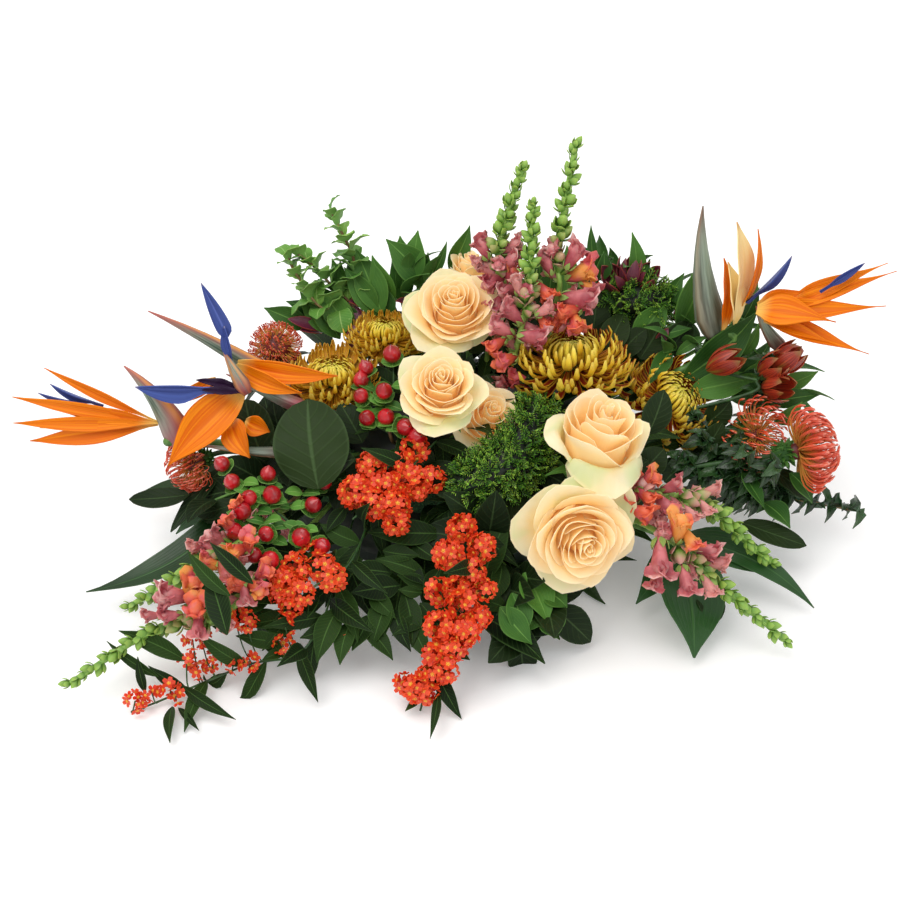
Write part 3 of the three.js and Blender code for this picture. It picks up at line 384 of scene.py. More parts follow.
def makeBerry():
    f = Finish("berrySkin", Roughness=0.3, Coat_Weight=0.4, Coat_Roughness=0.05)
    red = f.mix(f.ease(f.noise(90), 0.35, 0.7), "900814", "c4101e")
    return f.done(f.paint(red, (f.ease(f.along, 0.97, 1.0), "4a0d10")))


def makeScarlet():
    # small five-petalled florets with a yellow eye; along runs from the eye to the rim
    f = Finish("scarletFloretSkin", Roughness=0.5, Subsurface_Weight=0.1, Subsurface_Scale=0.002)
    body = f.paint(
        f.mix(f.named("tone"), "de2602", "f64a10"),
        (f.ease(f.along, 0.6, 1.0) * 0.25, "fa6a28"),
        (f.ease(1 - f.along, 0.76, 0.9), "f2b43a"),
        (f.beneath() * 0.5, "c2421a"),
    )
    return f.done(body, f.noise(700), 0.2, 0.0004)


def makeBrushGreen():
    f = Finish("brushNeedleSkin", Roughness=0.55, Subsurface_Weight=0.08, Subsurface_Scale=0.002)
    # painted shade and light: needles are darkest at their roots, deep in the brush where shade falls, and
    # lightest at their tips
    dark = f.mix(f.ease(f.along, 0.1, 0.9), "0e300a", "58921e")
    # painted highlight on the outer part of the tufts that the tone picks
    return f.done(f.paint(dark, (f.ease(f.named("tone"), 0.3, 0.9) * f.ease(f.along, 0.3, 0.9), "a2ce44")))


def makeLily():
    f = Finish("lilyPetalSkin", Roughness=0.38, Subsurface_Weight=0.1, Subsurface_Scale=0.003)
    grain = f.streaks(16, 1.0)
    body = f.paint(
        f.mix(f.ease(grain, 0.3, 0.7), "6e1612", "b03c1e"),
        (f.ease(1 - f.edge(), 0.6, 1.0) * f.ease(1 - f.along, 0.3, 0.9) * 0.7, "8f8a35"),
        (f.ease(f.along, 0.8, 1.0) * 0.6, "7f7a3a"),
        (f.named("out"), f.mix(grain, "35101f", "7c2f4e")),
        (f.ease(f.edge(), 0.8, 1.0) * 0.4, "bc5028"),
    )
    return f.done(body, grain, 0.3, 0.001)


# each leaf: deep and fresh green, rib and back, pairs of veins (none: lengthwise ribs), roughness and shine
leafLooks = {
    "darkLeaf": ("0d1d07", "253e12", "54793a", "364f2a", 15, 0.48, 0.13),
    "greenLeaf": ("214a14", "4b7a2c", "76a64c", "527f3e", 0, 0.45, 0.25),
    "lightLeaf": ("4a8030", "8cb850", "acd07c", "78a656", 9, 0.45, 0.25),
    "curledLeaf": ("10240c", "28481c", "4c7840", "335c38", 8, 0.22, 0.5),
    "broadLeaf": ("10200b", "253614", "465e36", "324828", 7, 0.44, 0.14),
    "bladeLeaf": ("12300e", "234e1c", "427032", "38622f", 0, 0.27, 0.42),
    "collarLeaf": ("2f5f1e", "5c9236", "a8cc74", "5c8c40", 0, 0.45, 0.25),
}


def makeLeaf(name, look):
    deep, fresh, ribColour, back, pairs, rough, shine = look
    f = Finish(name + "Skin", Roughness=rough, Specular_IOR_Level=shine)
    edge = f.edge()
    if pairs:
        veins = f.clamp(f.calc("SINE", (f.along * pairs - edge * 2.2) * (2 * math.pi))) ** 6
    else:
        veins = f.clamp(f.calc("SINE", f.across * (22 * math.pi))) ** 3 * 0.5
    rib = 1 - f.ease(edge, 0.02, 0.08)
    body = f.paint(
        f.mix(f.ease(f.named("tone") * 0.6 + f.noise(26, 3) * 0.6, 0.2, 0.95), deep, fresh),
        (veins * 0.14, ribColour),
        (rib * 0.55, ribColour),
        (f.ease(edge, 0.9, 1.0) * 0.3, ribColour),
        (f.beneath() * 0.85, back),
    )
    f.feed("Roughness", rough + f.noise(160) * 0.14 + veins * 0.08)
    return f.done(body, veins * 0.7 + rib + f.noise(240, 2) * 0.5, 0.35, 0.001)


stemLooks = {
    # moss: a near-black green for the cores hidden among leaves and needles, painted shade in the gaps between
    # them
    "stem": ("greenStem", "3f6a2a", "6b9a45"), "moss": ("mossHeart", "081206", "10220c"),
    "shadeStem": ("shadeStem", "1c3a16", "335a26"), "twig": ("brownTwig", "6a4a30", "90784a"),
    "limeStem": ("limeStem", "6f9a3c", "9cc25c"), "redHeart": ("redHeart", "4c1012", "7c2420"),
    "redStem": ("redStem", "8a3a26", "b0603c"),
}


def makeStem(name, deep, fresh):
    f = Finish(name + "Skin", Roughness=0.5)
    ribs = f.noise(1.0, 2, f.scaled(f.place, 140))
    return f.done(f.mix(f.ease(ribs, 0.3, 0.7), deep, fresh), ribs, 0.3, 0.001)


def makeTrayPlastic():
    f = Finish("trayPlastic", Roughness=0.42)
    speck = f.noise(900, 2)
    f.feed("Roughness", 0.36 + speck * 0.2)
    return f.done(f.mix(f.noise(14), "18251c", "223527"), speck, 0.12, 0.0005)


def makeWetFoam():
    f = Finish("wetFoam", Roughness=0.9)
    crumb = f.noise(520, 4)
    return f.done(f.mix(f.ease(crumb, 0.3, 0.7), "1f3a22", "3c6a3a"), crumb, 0.8, 0.002)


def makeTable():
    f = Finish("paleTable", Roughness=0.7, Emission_Strength=0.14)
    white = f.mix(f.noise(3), (0.93, 0.93, 0.93, 1), (0.96, 0.96, 0.96, 1))
    return f.feed("Emission Color", white).done(white)


skins = {name: makeLeaf(name, look) for name, look in leafLooks.items()}
skins |= {name: makeStem(*look) for name, look in stemLooks.items()}
skins |= {
    "rosePetal": makeRosePetal(), "floret": makeFloret(), "sepal": makeSepal(), "tongue": makeTongue(),
    "spathe": makeSpathe(), "style": makeStyle(), "snapPetal": makeSnapPetal(), "bud": makeBud(),
    "berry": makeBerry(), "scarlet": makeScarlet(), "brush": makeBrushGreen(), "lily": makeLily(),
}
print("materials made")


# Meshes: sheets of points with a thickness, and closed hulls

class Cloth:
    def __init__(self):
        self.points, self.faces, self.uvs, self.under = [], [], [], []
        self.marks = {}

    def put(self, points, uvs, marks):
        start = len(self.points)
        self.points += points
        self.uvs += uvs
        for name, value in marks.items():
            held = self.marks.setdefault(name, [0.0] * start)
            held += [value] * len(points)
        for held in self.marks.values():
            held += [0.0] * (len(self.points) - len(held))
        return start

    def face(self, corners, under=0.0):
        self.faces.append(corners)
        self.under.append(under)

    def sheet(self, grid, thickness, **marks):
        # grid[row][column]; its upper side looks along (column step) x (row step)
        rows, columns = len(grid), len(grid[0])
        spots = [(r, c) for r in range(rows) for c in range(columns)]
        uvs = [(c / (columns - 1), r / (rows - 1)) for r, c in spots]
        top, low = (
            self.put([grid[r][c] + normalAt(grid, r, c) * (side * thickness) for r, c in spots], uvs, marks)
            for side in (0.5, -0.5)
        )
        for r in range(rows - 1):
            for c in range(columns - 1):
                a, b = r * columns + c, (r + 1) * columns + c
                self.face([top + a, top + a + 1, top + b + 1, top + b])
                self.face([low + b, low + b + 1, low + a + 1, low + a], 1.0)
        last = (rows - 1) * columns
        border = [(c, c + 1) for c in range(columns - 1)]
        border += [(last + c + 1, last + c) for c in range(columns - 1)]
        border += [((r + 1) * columns, r * columns) for r in range(rows - 1)]
        border += [((r + 1) * columns - 1, (r + 2) * columns - 1) for r in range(rows - 1)]
        for a, b in border:
            self.face([top + b, top + a, low + a, low + b])

    def hull(self, rings, uv=None, **marks):
        # a closed surface through rings of points, with its ends filled; uv is one place for all of it
        sides, last = len(rings[0]), len(rings) - 1
        uvs = [uv or (k / sides, r / last) for r in range(last + 1) for k in range(sides)]
        start = self.put([p for ring in rings for p in ring], uvs, marks)
        for r in range(last):
            for k in range(sides):
                a, b = start + r * sides + k, start + r * sides + (k + 1) % sides
                self.face([a, b, b + sides, a + sides])
        self.face([start + k for k in reversed(range(sides))])
        self.face([start + last * sides + k for k in range(sides)])

    def mesh(self, name, skin, scale=mm):
        mesh = bpy.data.meshes.new(name)
        mesh.from_pydata([p * scale for p in self.points], [], self.faces)
        layer = mesh.uv_layers.new(name="UVMap")
        for loop in mesh.loops:
            layer.data[loop.index].uv = self.uvs[loop.vertex_index]
        mesh.attributes.new("under", "FLOAT", "FACE").data.foreach_set("value", self.under)
        for mark, values in self.marks.items():
            mesh.attributes.new(mark, "FLOAT", "POINT").data.foreach_set("value", values)
        shape = bmesh.new()
        shape.from_mesh(mesh)
        bmesh.ops.recalc_face_normals(shape, faces=shape.faces)
        shape.to_mesh(mesh)
        shape.free()
        mesh.polygons.foreach_set("use_smooth", [True] * len(mesh.polygons))
        mesh.set_sharp_from_angle(angle=math.radians(72))
        mesh.materials.append(skin)
        return mesh


def normalAt(grid, r, c):
    line = grid[r]
    left, right = line[max(c - 1, 0)], line[min(c + 1, len(line) - 1)]
    step = grid[min(r + 1, len(grid) - 1)][c] - grid[max(r - 1, 0)][c]
    return (right - left).cross(step).normalized()


def smooth(points, perSpan=8):
    # a smooth line through points
    stops = [points[0] * 2 - points[1], *points, points[-1] * 2 - points[-2]]
    line = []
    for i in range(1, len(stops) - 2):
        p, q, r, s = stops[i - 1 : i + 3]
        for k in range(perSpan):
            t = k / perSpan
            bend, turn = p * 2 - q * 5 + r * 4 - s, q * 3 - p - r * 3 + s
            line.append((q * 2 + (r - p) * t + bend * t**2 + turn * t**3) / 2)
    return [*line, points[-1]]


def bezier(stops, t):
    while len(stops) > 1:
        stops = [a.lerp(b, t) for a, b in zip(stops, stops[1:])]
    return stops[0]


def outlineOf(form, t):
    # half width of a leaf or petal at a share of its length
    widest, blunt = form.get("widest", 0.4), form.get("blunt", 1.0)
    base = form.get("base", 0.7)
    if t < widest:
        return max(math.sin(math.pi / 2 * t / widest) ** base, form.get("neck", 0.06))
    return max(math.cos(math.pi / 2 * (t - widest) / (1 - widest)) ** blunt, 0.03)


def blade(cloth, root, tip, width, face, form, **marks):
    # a leaf, sepal or petal from its root to its tip; face says where its upper side looks
    rows, columns = form.get("rows", 9), form.get("columns", 4)
    along = tip - root
    length, way = along.length, along.normalized()
    side = way.cross(face).normalized()
    lift = side.cross(way).normalized()
    grid = []
    for r in range(rows + 1):
        t = r / rows
        half = width / 2 * outlineOf(form, t)
        middle = root + along * t + lift * (form.get("bow", 0.08) * 4 * t * (1 - t) * length)
        middle += lift * (-form.get("droop", 0) * t**3 * length)
        middle += side * (form.get("sweep", 0) * 4 * t * (1 - t) * length)
        twist = form.get("twist", 0) * (t - 0.3)
        over = side * math.cos(twist) + lift * math.sin(twist)
        upper = lift * math.cos(twist) - side * math.sin(twist)
        line = []
        for c in range(columns + 1):
            s = 2 * c / columns - 1
            rise = form.get("fold", 0.2) * abs(s) ** form.get("crease", 1.3) * half
            ripple = form.get("wave", 0) * math.sin(t * 14 + s * 2 + root.x) * abs(s) ** 2 * half
            line.append(middle + over * (s * half) + upper * (rise + ripple))
        grid.append(line)
    cloth.sheet(grid, form.get("thickness", 0.7), **marks)


# Geometry Nodes trees

def newTree(name, **inputs):
    # a tree with a geometry and named inputs, given by kind as lists of names
    tree = bpy.data.node_groups.new(name, "GeometryNodeTree")
    tree.interface.new_socket(name="Geometry", in_out="INPUT", socket_type="NodeSocketGeometry")
    for kind, labels in inputs.items():
        for label in labels.split(", "):
            tree.interface.new_socket(name=label, in_out="INPUT", socket_type="NodeSocket" + kind)
    tree.interface.new_socket(name="Geometry", in_out="OUTPUT", socket_type="NodeSocketGeometry")
    web = Web(tree)
    return web, web.add("NodeGroupInput")


def closeTree(web, given, geometry):
    # makes what is repeated real, gives it its material and ends the tree
    real = web.add("GeometryNodeRealizeInstances", None, {"Geometry": geometry})
    done = web.add("GeometryNodeSetMaterial", None, {"Geometry": real, "Material": given.of("Material")})
    web.add("NodeGroupOutput", None, {"Geometry": done})
    return web.tree


def repeated(web, given, points, rotation, size, share):
    # the given sprig on each point, marked with a tone and with its share, as a closed tree
    sprig = web.add("GeometryNodeObjectInfo", None, {"Object": given.of("Sprig")}).of("Geometry")
    links = {"Points": points, "Instance": sprig, "Rotation": rotation, "Scale": size}
    instances = web.add("GeometryNodeInstanceOnPoints", None, links)
    marks = {"tone": web.add("FunctionNodeRandomValue", {"data_type": "FLOAT"}, {"Seed": 31}), "out": share}
    for name, value in marks.items():
        settings = {"domain": "INSTANCE", "data_type": "FLOAT"}
        links = {"Geometry": instances, "Name": name, "Value": value}
        instances = web.add("GeometryNodeStoreNamedAttribute", settings, links)
    return closeTree(web, given, instances)


def chance(web, given, low, high, order):
    seed = web.calc("ADD", given.of("Seed"), order)
    return web.add("FunctionNodeRandomValue", {"data_type": "FLOAT"}, {"Min": low, "Max": high, "Seed": seed})


def between(given, name, share):
    return given.of(name + " From") + (given.of(name + " To") - given.of(name + " From")) * share


def facingWay(web, way, face):
    settings = {"primary_axis": "Z", "secondary_axis": "Y"}
    return web.add("FunctionNodeAxesToRotation", settings, {"Primary Axis": way, "Secondary Axis": face})


def makeHeadTree():
    # florets in a golden spiral round +Z; out runs from 0 at the middle to 1 at the rim
    web, given = newTree(
        "flowerHead", Object="Sprig", Int="Count, Seed", Material="Material",
        Float="Heart, Flatten, Lean From, Lean To, Lean Power, Size From, Size To, Jitter",
    )
    index, jitter = web.add("GeometryNodeInputIndex"), given.of("Jitter")
    share = (index + 0.5) / given.of("Count")
    lean = between(given, "Lean", share ** given.of("Lean Power")) + chance(web, given, -1.0, 1.0, 1) * jitter
    turn = index * goldenAngle + chance(web, given, -1.0, 1.0, 2) * jitter
    flat, rise = web.calc("SINE", lean), web.calc("COSINE", lean)
    way = web.combine(flat * web.calc("COSINE", turn), flat * web.calc("SINE", turn), rise)
    squash = web.combine(1.0, 1.0, given.of("Flatten"))
    root = web.vector("MULTIPLY", web.scaled(way, given.of("Heart")), squash)
    points = web.add("GeometryNodePoints", None, {"Count": given.of("Count"), "Position": root})
    rotation = web.add("FunctionNodeEulerToRotation", None, {"Euler": web.combine(0.0, lean, turn)})
    size = between(given, "Size", share) * chance(web, given, 0.88, 1.1, 3)
    return repeated(web, given, points, rotation, size, share)


def makeAlongTree():
    # leaves, buds or flowers in a spiral along a stem
    web, given = newTree(
        "alongStem", Object="Sprig", Int="Count, Seed", Material="Material",
        Float="From, To, Lean From, Lean To, Lift, Size From, Size To, Jitter",
    )
    links = {"Curve": given.of("Geometry"), "Start": given.of("From"), "End": given.of("To")}
    part = web.add("GeometryNodeTrimCurve", {"mode": "FACTOR"}, links)
    links = {"Curve": part, "Count": given.of("Count")}
    spots = web.add("GeometryNodeCurveToPoints", {"mode": "COUNT"}, links)
    index, jitter, tangent = web.add("GeometryNodeInputIndex"), given.of("Jitter"), spots.of("Tangent")
    share = index / web.calc("MAXIMUM", given.of("Count") - 1, 1.0)
    turn = index * goldenAngle + chance(web, given, -1.0, 1.0, 1) * jitter
    links = {"Vector": spots.of("Normal"), "Axis": tangent, "Angle": turn}
    side = web.add("ShaderNodeVectorRotate", {"rotation_type": "AXIS_ANGLE"}, links)
    lean = between(given, "Lean", share) + chance(web, given, -0.6, 0.6, 2) * jitter
    ahead, aside = web.scaled(tangent, web.calc("COSINE", lean)), web.scaled(side, web.calc("SINE", lean))
    way = web.vector("ADD", web.vector("ADD", ahead, aside), web.combine(0.0, 0.0, given.of("Lift")))
    place = web.add("GeometryNodeInputPosition")
    face = web.vector("ADD", web.vector("MULTIPLY", place, (3.3, 6.6, 0.0)), (0.0, -0.15, 1.0))
    size = between(given, "Size", share) * chance(web, given, 0.82, 1.12, 3)
    return repeated(web, given, spots, facingWay(web, way, face), size, share)


def makeCrowdTree():
    # florets or leaves crowded over a surface, each looking out of it or lying on it
    web, given = newTree(
        "crowdedFlorets", Object="Sprig", Int="Seed", Material="Material",
        Float="Spacing, Density, Size, Lying, Jitter",
    )
    links = {
        "Mesh": given.of("Geometry"), "Distance Min": given.of("Spacing"), "Density Max": given.of("Density"),
        "Seed": given.of("Seed"),
    }
    spots = web.add("GeometryNodeDistributePointsOnFaces", {"distribute_method": "POISSON"}, links)
    links = {"Min": (-1.0, -1.0, -1.0), "Max": (1.0, 1.0, 1.0), "Seed": given.of("Seed")}
    stir = web.add("FunctionNodeRandomValue", {"data_type": "FLOAT_VECTOR"}, links)
    lying, normal = given.of("Lying"), spots.of("Normal")
    place = web.vector("MULTIPLY", web.add("GeometryNodeInputPosition"), (1.0, 2.2, 0.0))
    outward = web.scaled(web.vector("NORMALIZE", place), lying)
    outward = web.vector("ADD", outward, web.combine(0.0, 0.0, lying * -0.15))
    way = web.vector("ADD", web.scaled(normal, 1.15 - lying), outward)
    way = web.vector("ADD", way, web.scaled(stir, given.of("Jitter")))
    face = web.vector("ADD", web.scaled(normal, lying), web.scaled(stir, 1.0 - lying * 0.85))
    size = given.of("Size") * chance(web, given, 0.8, 1.15, 3)
    return repeated(web, given, spots, facingWay(web, way, face), size, chance(web, given, 0.0, 1.0, 4))


def makeStemTree():
    web, given = newTree("roundStem", Float="Radius", Int="Sides", Material="Material")
    links = {"Resolution": given.of("Sides"), "Radius": given.of("Radius")}
    ring = web.add("GeometryNodeCurvePrimitiveCircle", None, links)
    links = {"Curve": given.of("Geometry"), "Profile Curve": ring, "Fill Caps": True}
    return closeTree(web, given, web.add("GeometryNodeCurveToMesh", None, links))


headTree, alongTree, crowdTree, stemTree = makeHeadTree(), makeAlongTree(), makeCrowdTree(), makeStemTree()


def grown(tree, carrier, inputs):
    # the tree's result on a carrier as a plain mesh; the carrier is dropped
    modifier = carrier.modifiers.new("growth", "NODES")
    modifier.node_group = tree
    for item in tree.interface.items_tree:
        if item.in_out == "INPUT" and item.name in inputs:
            modifier[item.identifier] = inputs[item.name]
    bpy.context.view_layer.update()
    shown = carrier.evaluated_get(bpy.context.evaluated_depsgraph_get())
    mesh = bpy.data.meshes.new_from_object(shown)
    carrier.modifiers.remove(modifier)
    bpy.data.objects.remove(carrier)
    mesh.polygons.foreach_set("use_smooth", [True] * len(mesh.polygons))
    return mesh


def newObject(name, data):
    made = bpy.data.objects.new(name, data)
    scene.collection.objects.link(made)
    return made


def lineOf(points):
    curve = bpy.data.curves.new("stemLine", "CURVE")
    curve.dimensions = "3D"
    spline = curve.splines.new("POLY")
    spline.points.add(len(points) - 1)
    for spot, point in zip(spline.points, points):
        spot.co = (*(point * mm), 1)
    return newObject("stemLine", curve)


def stemMesh(points, radius, skin, sides=7):
    return grown(stemTree, lineOf(points), {"Radius": radius * mm, "Sides": sides, "Material": skins[skin]})


def spiralRule(sprig, count, skin, seed, size, rule):
    # what the trees for heads and for stems share; sizes are in parts of size
    (leanFrom, leanTo), (sizeFrom, sizeTo) = rule["lean"], rule["size"]
    return {
        "Sprig": sprig, "Count": count, "Material": skins[skin], "Seed": seed,
        "Lean From": math.radians(leanFrom), "Lean To": math.radians(leanTo),
        "Size From": sizeFrom * size * mm, "Size To": sizeTo * size * mm,
    }


def alongStem(points, sprig, count, skin, seed, **rule):
    settings = spiralRule(sprig, count, skin, seed, 1, rule)
    settings |= {
        "From": rule["start"], "To": rule["end"], "Lift": rule.get("lift", 0.0), "Jitter": rule["jitter"],
    }
    return grown(alongTree, lineOf(points), settings)


def flowerHead(matrix, sprig, count, skin, diameter, seed, **rule):
    settings = spiralRule(sprig, count, skin, seed, diameter, rule)
    settings |= {
        "Heart": rule["heart"] * diameter * mm, "Flatten": rule.get("flatten", 1.0),
        "Lean Power": rule.get("power", 0.8), "Jitter": rule.get("jitter", 0.1),
    }
    mesh = grown(headTree, newObject("carrier", bpy.data.meshes.new("carrier")), settings)
    mesh.transform(Matrix.Scale(mm, 4) @ matrix @ Matrix.Scale(1 / mm, 4))
    return mesh


def crowded(surface, sprig, skin, seed, **rule):
    settings = {
        "Sprig": sprig, "Spacing": rule["spacing"] * mm, "Density": 1.6e6 / rule["spacing"] ** 2,
        "Size": rule["size"] * mm, "Lying": rule.get("lying", 0.0), "Jitter": rule.get("jitter", 0.35),
        "Seed": seed, "Material": skins[skin],
    }
    return grown(crowdTree, newObject("carrier", surface), settings)


lowest = 4 * mm


def settle(name, meshes, slotName, *nodes):
    # joins meshes into one finished piece that rides on the arrangement and stands for CAD nodes
    shape = bmesh.new()
    whole = bpy.data.meshes.new(name)
    skinsUsed = []
    for mesh in meshes:
        for skin in mesh.materials:
            if skin not in skinsUsed:
                skinsUsed.append(skin)
    for mesh in meshes:
        places = [skinsUsed.index(skin) for skin in mesh.materials]
        faces = [places[min(p.material_index, len(places) - 1)] for p in mesh.polygons]
        mesh.polygons.foreach_set("material_index", faces)
        for mark, domain in (("tone", "POINT"), ("out", "POINT"), ("palate", "POINT"), ("under", "FACE")):
            if mark not in mesh.attributes:
                mesh.attributes.new(mark, "FLOAT", domain)
        if not mesh.uv_layers:
            mesh.uv_layers.new(name="UVMap")
        shape.from_mesh(mesh)
    for spot in shape.verts:
        if spot.co.z < lowest:  # what droops to the table lies on it
            spot.co.z = lowest * math.exp(spot.co.z / lowest - 1)
    shape.to_mesh(whole)
    shape.free()
    for skin in skinsUsed:
        whole.materials.append(skin)
    for mesh in meshes:
        bpy.data.meshes.remove(mesh)
    piece = newObject(name, whole)
    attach(piece, "root")
    if nodes:
        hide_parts(*nodes)


templates = []


def template(name, cloth, skin):
    # a shape of unit length along +Z whose upper side looks along +Y, for the trees to repeat
    made = newObject(name, cloth.mesh(name, skins[skin], 1))
    templates.append(made)
    return made


longLeafForm = {
    "rows": 7, "columns": 4, "widest": 0.42, "blunt": 1.15, "bow": 0.08, "fold": 0.25, "thickness": 0.012,
    "droop": 0.06,
}


def leafShape(name, ratio, skin, form):
    # a leaf of unit length, ratio wide
    cloth = Cloth()
    blade(cloth, Vector(), up, ratio, Vector((0, 1, 0)), form)
    return template(name, cloth, skin)


def makeAll(maker, items, seed):
    # one call for each entry, each with a seed of its own
    for order, (name, item) in enumerate(items.items()):
        maker(name, item, seed + order)


# Camera, lights and table

studio = {
    "sensor": 36, "picture": 900, "clip": 40, "tableHalf": 6, "skyStrength": 0.67,
    "lamps": {  # place in metres, size, power and colour
        "keyLight": ((-0.8, -0.5, 2.3), 1.9, 35, (1.0, 0.985, 0.96)),
        "fillLight": ((1.4, -1.4, 1.5), 1.6, 9, (0.95, 0.98, 1.0)),
        "backLight": ((0.3, 1.6, 1.8), 1.4, 12, (1.0, 1.0, 1.0)),
    },
}


def aim(thing, place, way):
    # puts a camera or a lamp in its place, looking along a direction
    thing.location = place
    thing.rotation_mode = "QUATERNION"
    thing.rotation_quaternion = way.to_track_quat("-Z", "Y")


def makeStudio():
    camera = bpy.data.cameras.new("camera")
    camera.lens = studio["sensor"] * view["distance"] / (view["mmPerPixel"] * studio["picture"])
    camera.clip_end = studio["clip"]
    scene.camera = newObject("camera", camera)
    aim(scene.camera, (viewBack * view["distance"] + up * view["aimHeight"]) * mm, -viewBack)
    table = bmesh.new()
    bmesh.ops.create_grid(table, x_segments=8, y_segments=8, size=studio["tableHalf"])
    mesh = bpy.data.meshes.new("table")
    table.to_mesh(mesh)
    table.free()
    mesh.materials.append(makeTable())
    newObject("table", mesh)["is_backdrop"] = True
    for name, (place, size, power, colour) in studio["lamps"].items():
        lamp = bpy.data.lights.new(name, "AREA")
        lamp.energy, lamp.size, lamp.color = power, size, colour
        aim(newObject(name, lamp), place, -Vector(place))
    world = bpy.data.worlds.new("softRoom")
    world.use_nodes = True
    sky = world.node_tree.nodes["Background"]
    sky.inputs["Color"].default_value = (1.0, 1.0, 1.0, 1)
    sky.inputs["Strength"].default_value = studio["skyStrength"]
    scene.world = world
    scene.view_settings.view_transform = "Standard"


makeStudio()
print("studio made")

# Stems: the same courses as in the part's source

stemRule = {"depth": 34, "leave": 0.4, "arrive": 0.35, "steps": 14}


def wayOut(foot, goal):
    # the way a stem leaves the foam at its foot, between outwards and towards its goal
    heart = Vector((foot.x * 0.72, foot.y * 0.35, 20))
    return ((foot - heart).normalized() + (goal - foot).normalized()).normalized()


def curveOf(stops, steps):
    return [bezier(stops, i / steps) for i in range(steps + 1)]


def stemTo(foot, seat, facing):
    foot = Vector(foot)
    out, span = wayOut(foot, seat), (seat - foot).length
    leave, arrive = foot + out * span * stemRule["leave"], seat - facing * span * stemRule["arrive"]
    return [foot - out * stemRule["depth"], *curveOf([foot, leave, arrive, seat], stemRule["steps"])]


def stemThrough(foot, places):
    foot, places = Vector(foot), [spot(place) for place in places]
    return [foot - wayOut(foot, places[0]) * stemRule["depth"], *smooth([foot, *places])]


def bloomAt(bloom):
    # a bloom's middle, the way it faces and its diameter
    return spot(bloom["at"]), towards(*bloom["facing"]), bloom["diameter"]


# Roses

roses = {
    "rose_top": {
        "at": (454, 306, 189), "diameter": 96, "facing": (-8, 72), "foot": (2, 14, 88),
        "petals": 30, "cup": 0.22,
    },
    "rose_mid_left": {
        "at": (441, 384, 178), "diameter": 84, "facing": (6, 70), "foot": (-14, -7, 88),
        "petals": 28, "cup": 0.2,
    },
    "rose_mid_right": {
        "at": (600, 436, 156), "diameter": 104, "facing": (112, 76), "foot": (71, -18, 88),
        "petals": 20, "cup": 0.85,
    },
    "rose_front": {
        "at": (583, 540, 111), "diameter": 107, "facing": (14, 17), "foot": (55, -44, 71),
        "petals": 32, "cup": 0.16,
    },
    "rose_small": {
        "at": (489, 414, 136), "diameter": 74, "facing": (40, 62), "foot": (28, -7, 88),
        "petals": 20, "cup": 0.3,
    },
    "rose_back": {
        "at": (470, 267, 182), "diameter": 50, "facing": (170, 74), "foot": (16, 35, 88),
        "petals": 18, "cup": 0.7,
    },
}
roseForm = {
    "seat": 0.3, "perSpan": 4, "columns": 16, "thickness": 0.35, "sweepIn": 122, "sweepOut": 80, "turn": 40,
    "hip": [(-12, 2.6), (-9, 4.4), (-5, 6.2), (-1.5, 6.0), (0.5, 3.0), (1, 0.4)],
    "stem": 2.7, "sepals": 5, "sepalReach": 0.36, "sepalWidth": 10,
}
sepalForm = {"widest": 0.3, "blunt": 1.2, "bow": 0.1, "fold": 0.3, "thickness": 0.6, "rows": 7}


def rimOf(out, cup):
    # radius and height of a petal's rim, from the heart (0) to the outermost petal (1)
    out = max(0.0, out)
    return Vector((0.02 + (0.42 - 0.05 * cup) * out**1.15, 0.45 - (0.24 - 0.14 * cup) * out**1.8))


def rosePetal(cloth, matrix, rose, out, angle, luck):
    diameter, cup, columns = rose["diameter"], rose["cup"], roseForm["columns"]
    rim = rimOf(out, cup) + Vector((luck.uniform(-0.02, 0.03) * out, luck.uniform(-0.02, 0.02)))
    shoulder = Vector((rim.x * (0.92 - (0.34 - 0.2 * cup) * out), rim.y - 0.13 - 0.02 * out))
    rim.y -= (0.03 + 0.26 * cup) * max(0, out - 0.86) / 0.14
    root, belly = Vector((0.03, 0)), Vector((0.1 + 0.14 * out, 0.08))
    profile = smooth([root, belly, shoulder, rim], roseForm["perSpan"])
    opening = min(1, out * 1.4) ** 0.6
    half = math.radians(roseForm["sweepIn"] + (roseForm["sweepOut"] - roseForm["sweepIn"]) * opening)
    ripple, phase, skew = luck.uniform(0.5, 1.3), luck.uniform(0, 6.3), luck.uniform(-0.05, 0.05)
    point = luck.uniform(0.6, 1.15) * min(1, max(0, out - 0.3) * 2)
    rows = len(profile) - 1
    grid = []
    for r in range(rows + 1):
        v = r / rows
        line = []
        for c in range(columns + 1):
            u = 2 * c / columns - 1
            side = abs(u)
            outline = (0.22 + 0.78 * math.sqrt(1 - side**4)) * (1 - 0.13 * point * side)
            reach = v * outline * rows
            low = min(int(reach), rows - 1)
            at = profile[low].lerp(profile[low + 1], reach - low)
            turn = angle + half * u * (0.45 + 0.55 * math.sin(math.pi / 2 * min(1, v * 1.3)))
            radius = at.x * (1 + (0.22 * (1 - out * 0.75) + skew) * u * v)
            curl = max(0, v - 0.72) / 0.28
            fold = min(1, max(0, side - 0.12) / 0.5) * (1 - 0.5 * side)
            radius += 0.045 * point * v**4 * max(0, 1 - side * 2.4) + 0.016 * out * curl
            rise = at.y - curl**2 * (0.012 + 0.07 * fold * out) * out
            wave = ripple * (0.006 + 0.012 * out) * v**3
            radius += wave * math.sin(u * 5.5 + phase)
            rise += wave * math.cos(u * 7 + phase * 2) + skew * u * v
            rise *= 1 + 0.32 * cup
            line.append(matrix @ (around(turn, radius, rise) * diameter))
        grid.append(line)
    cloth.sheet(grid, roseForm["thickness"], out=out, tone=luck.random())


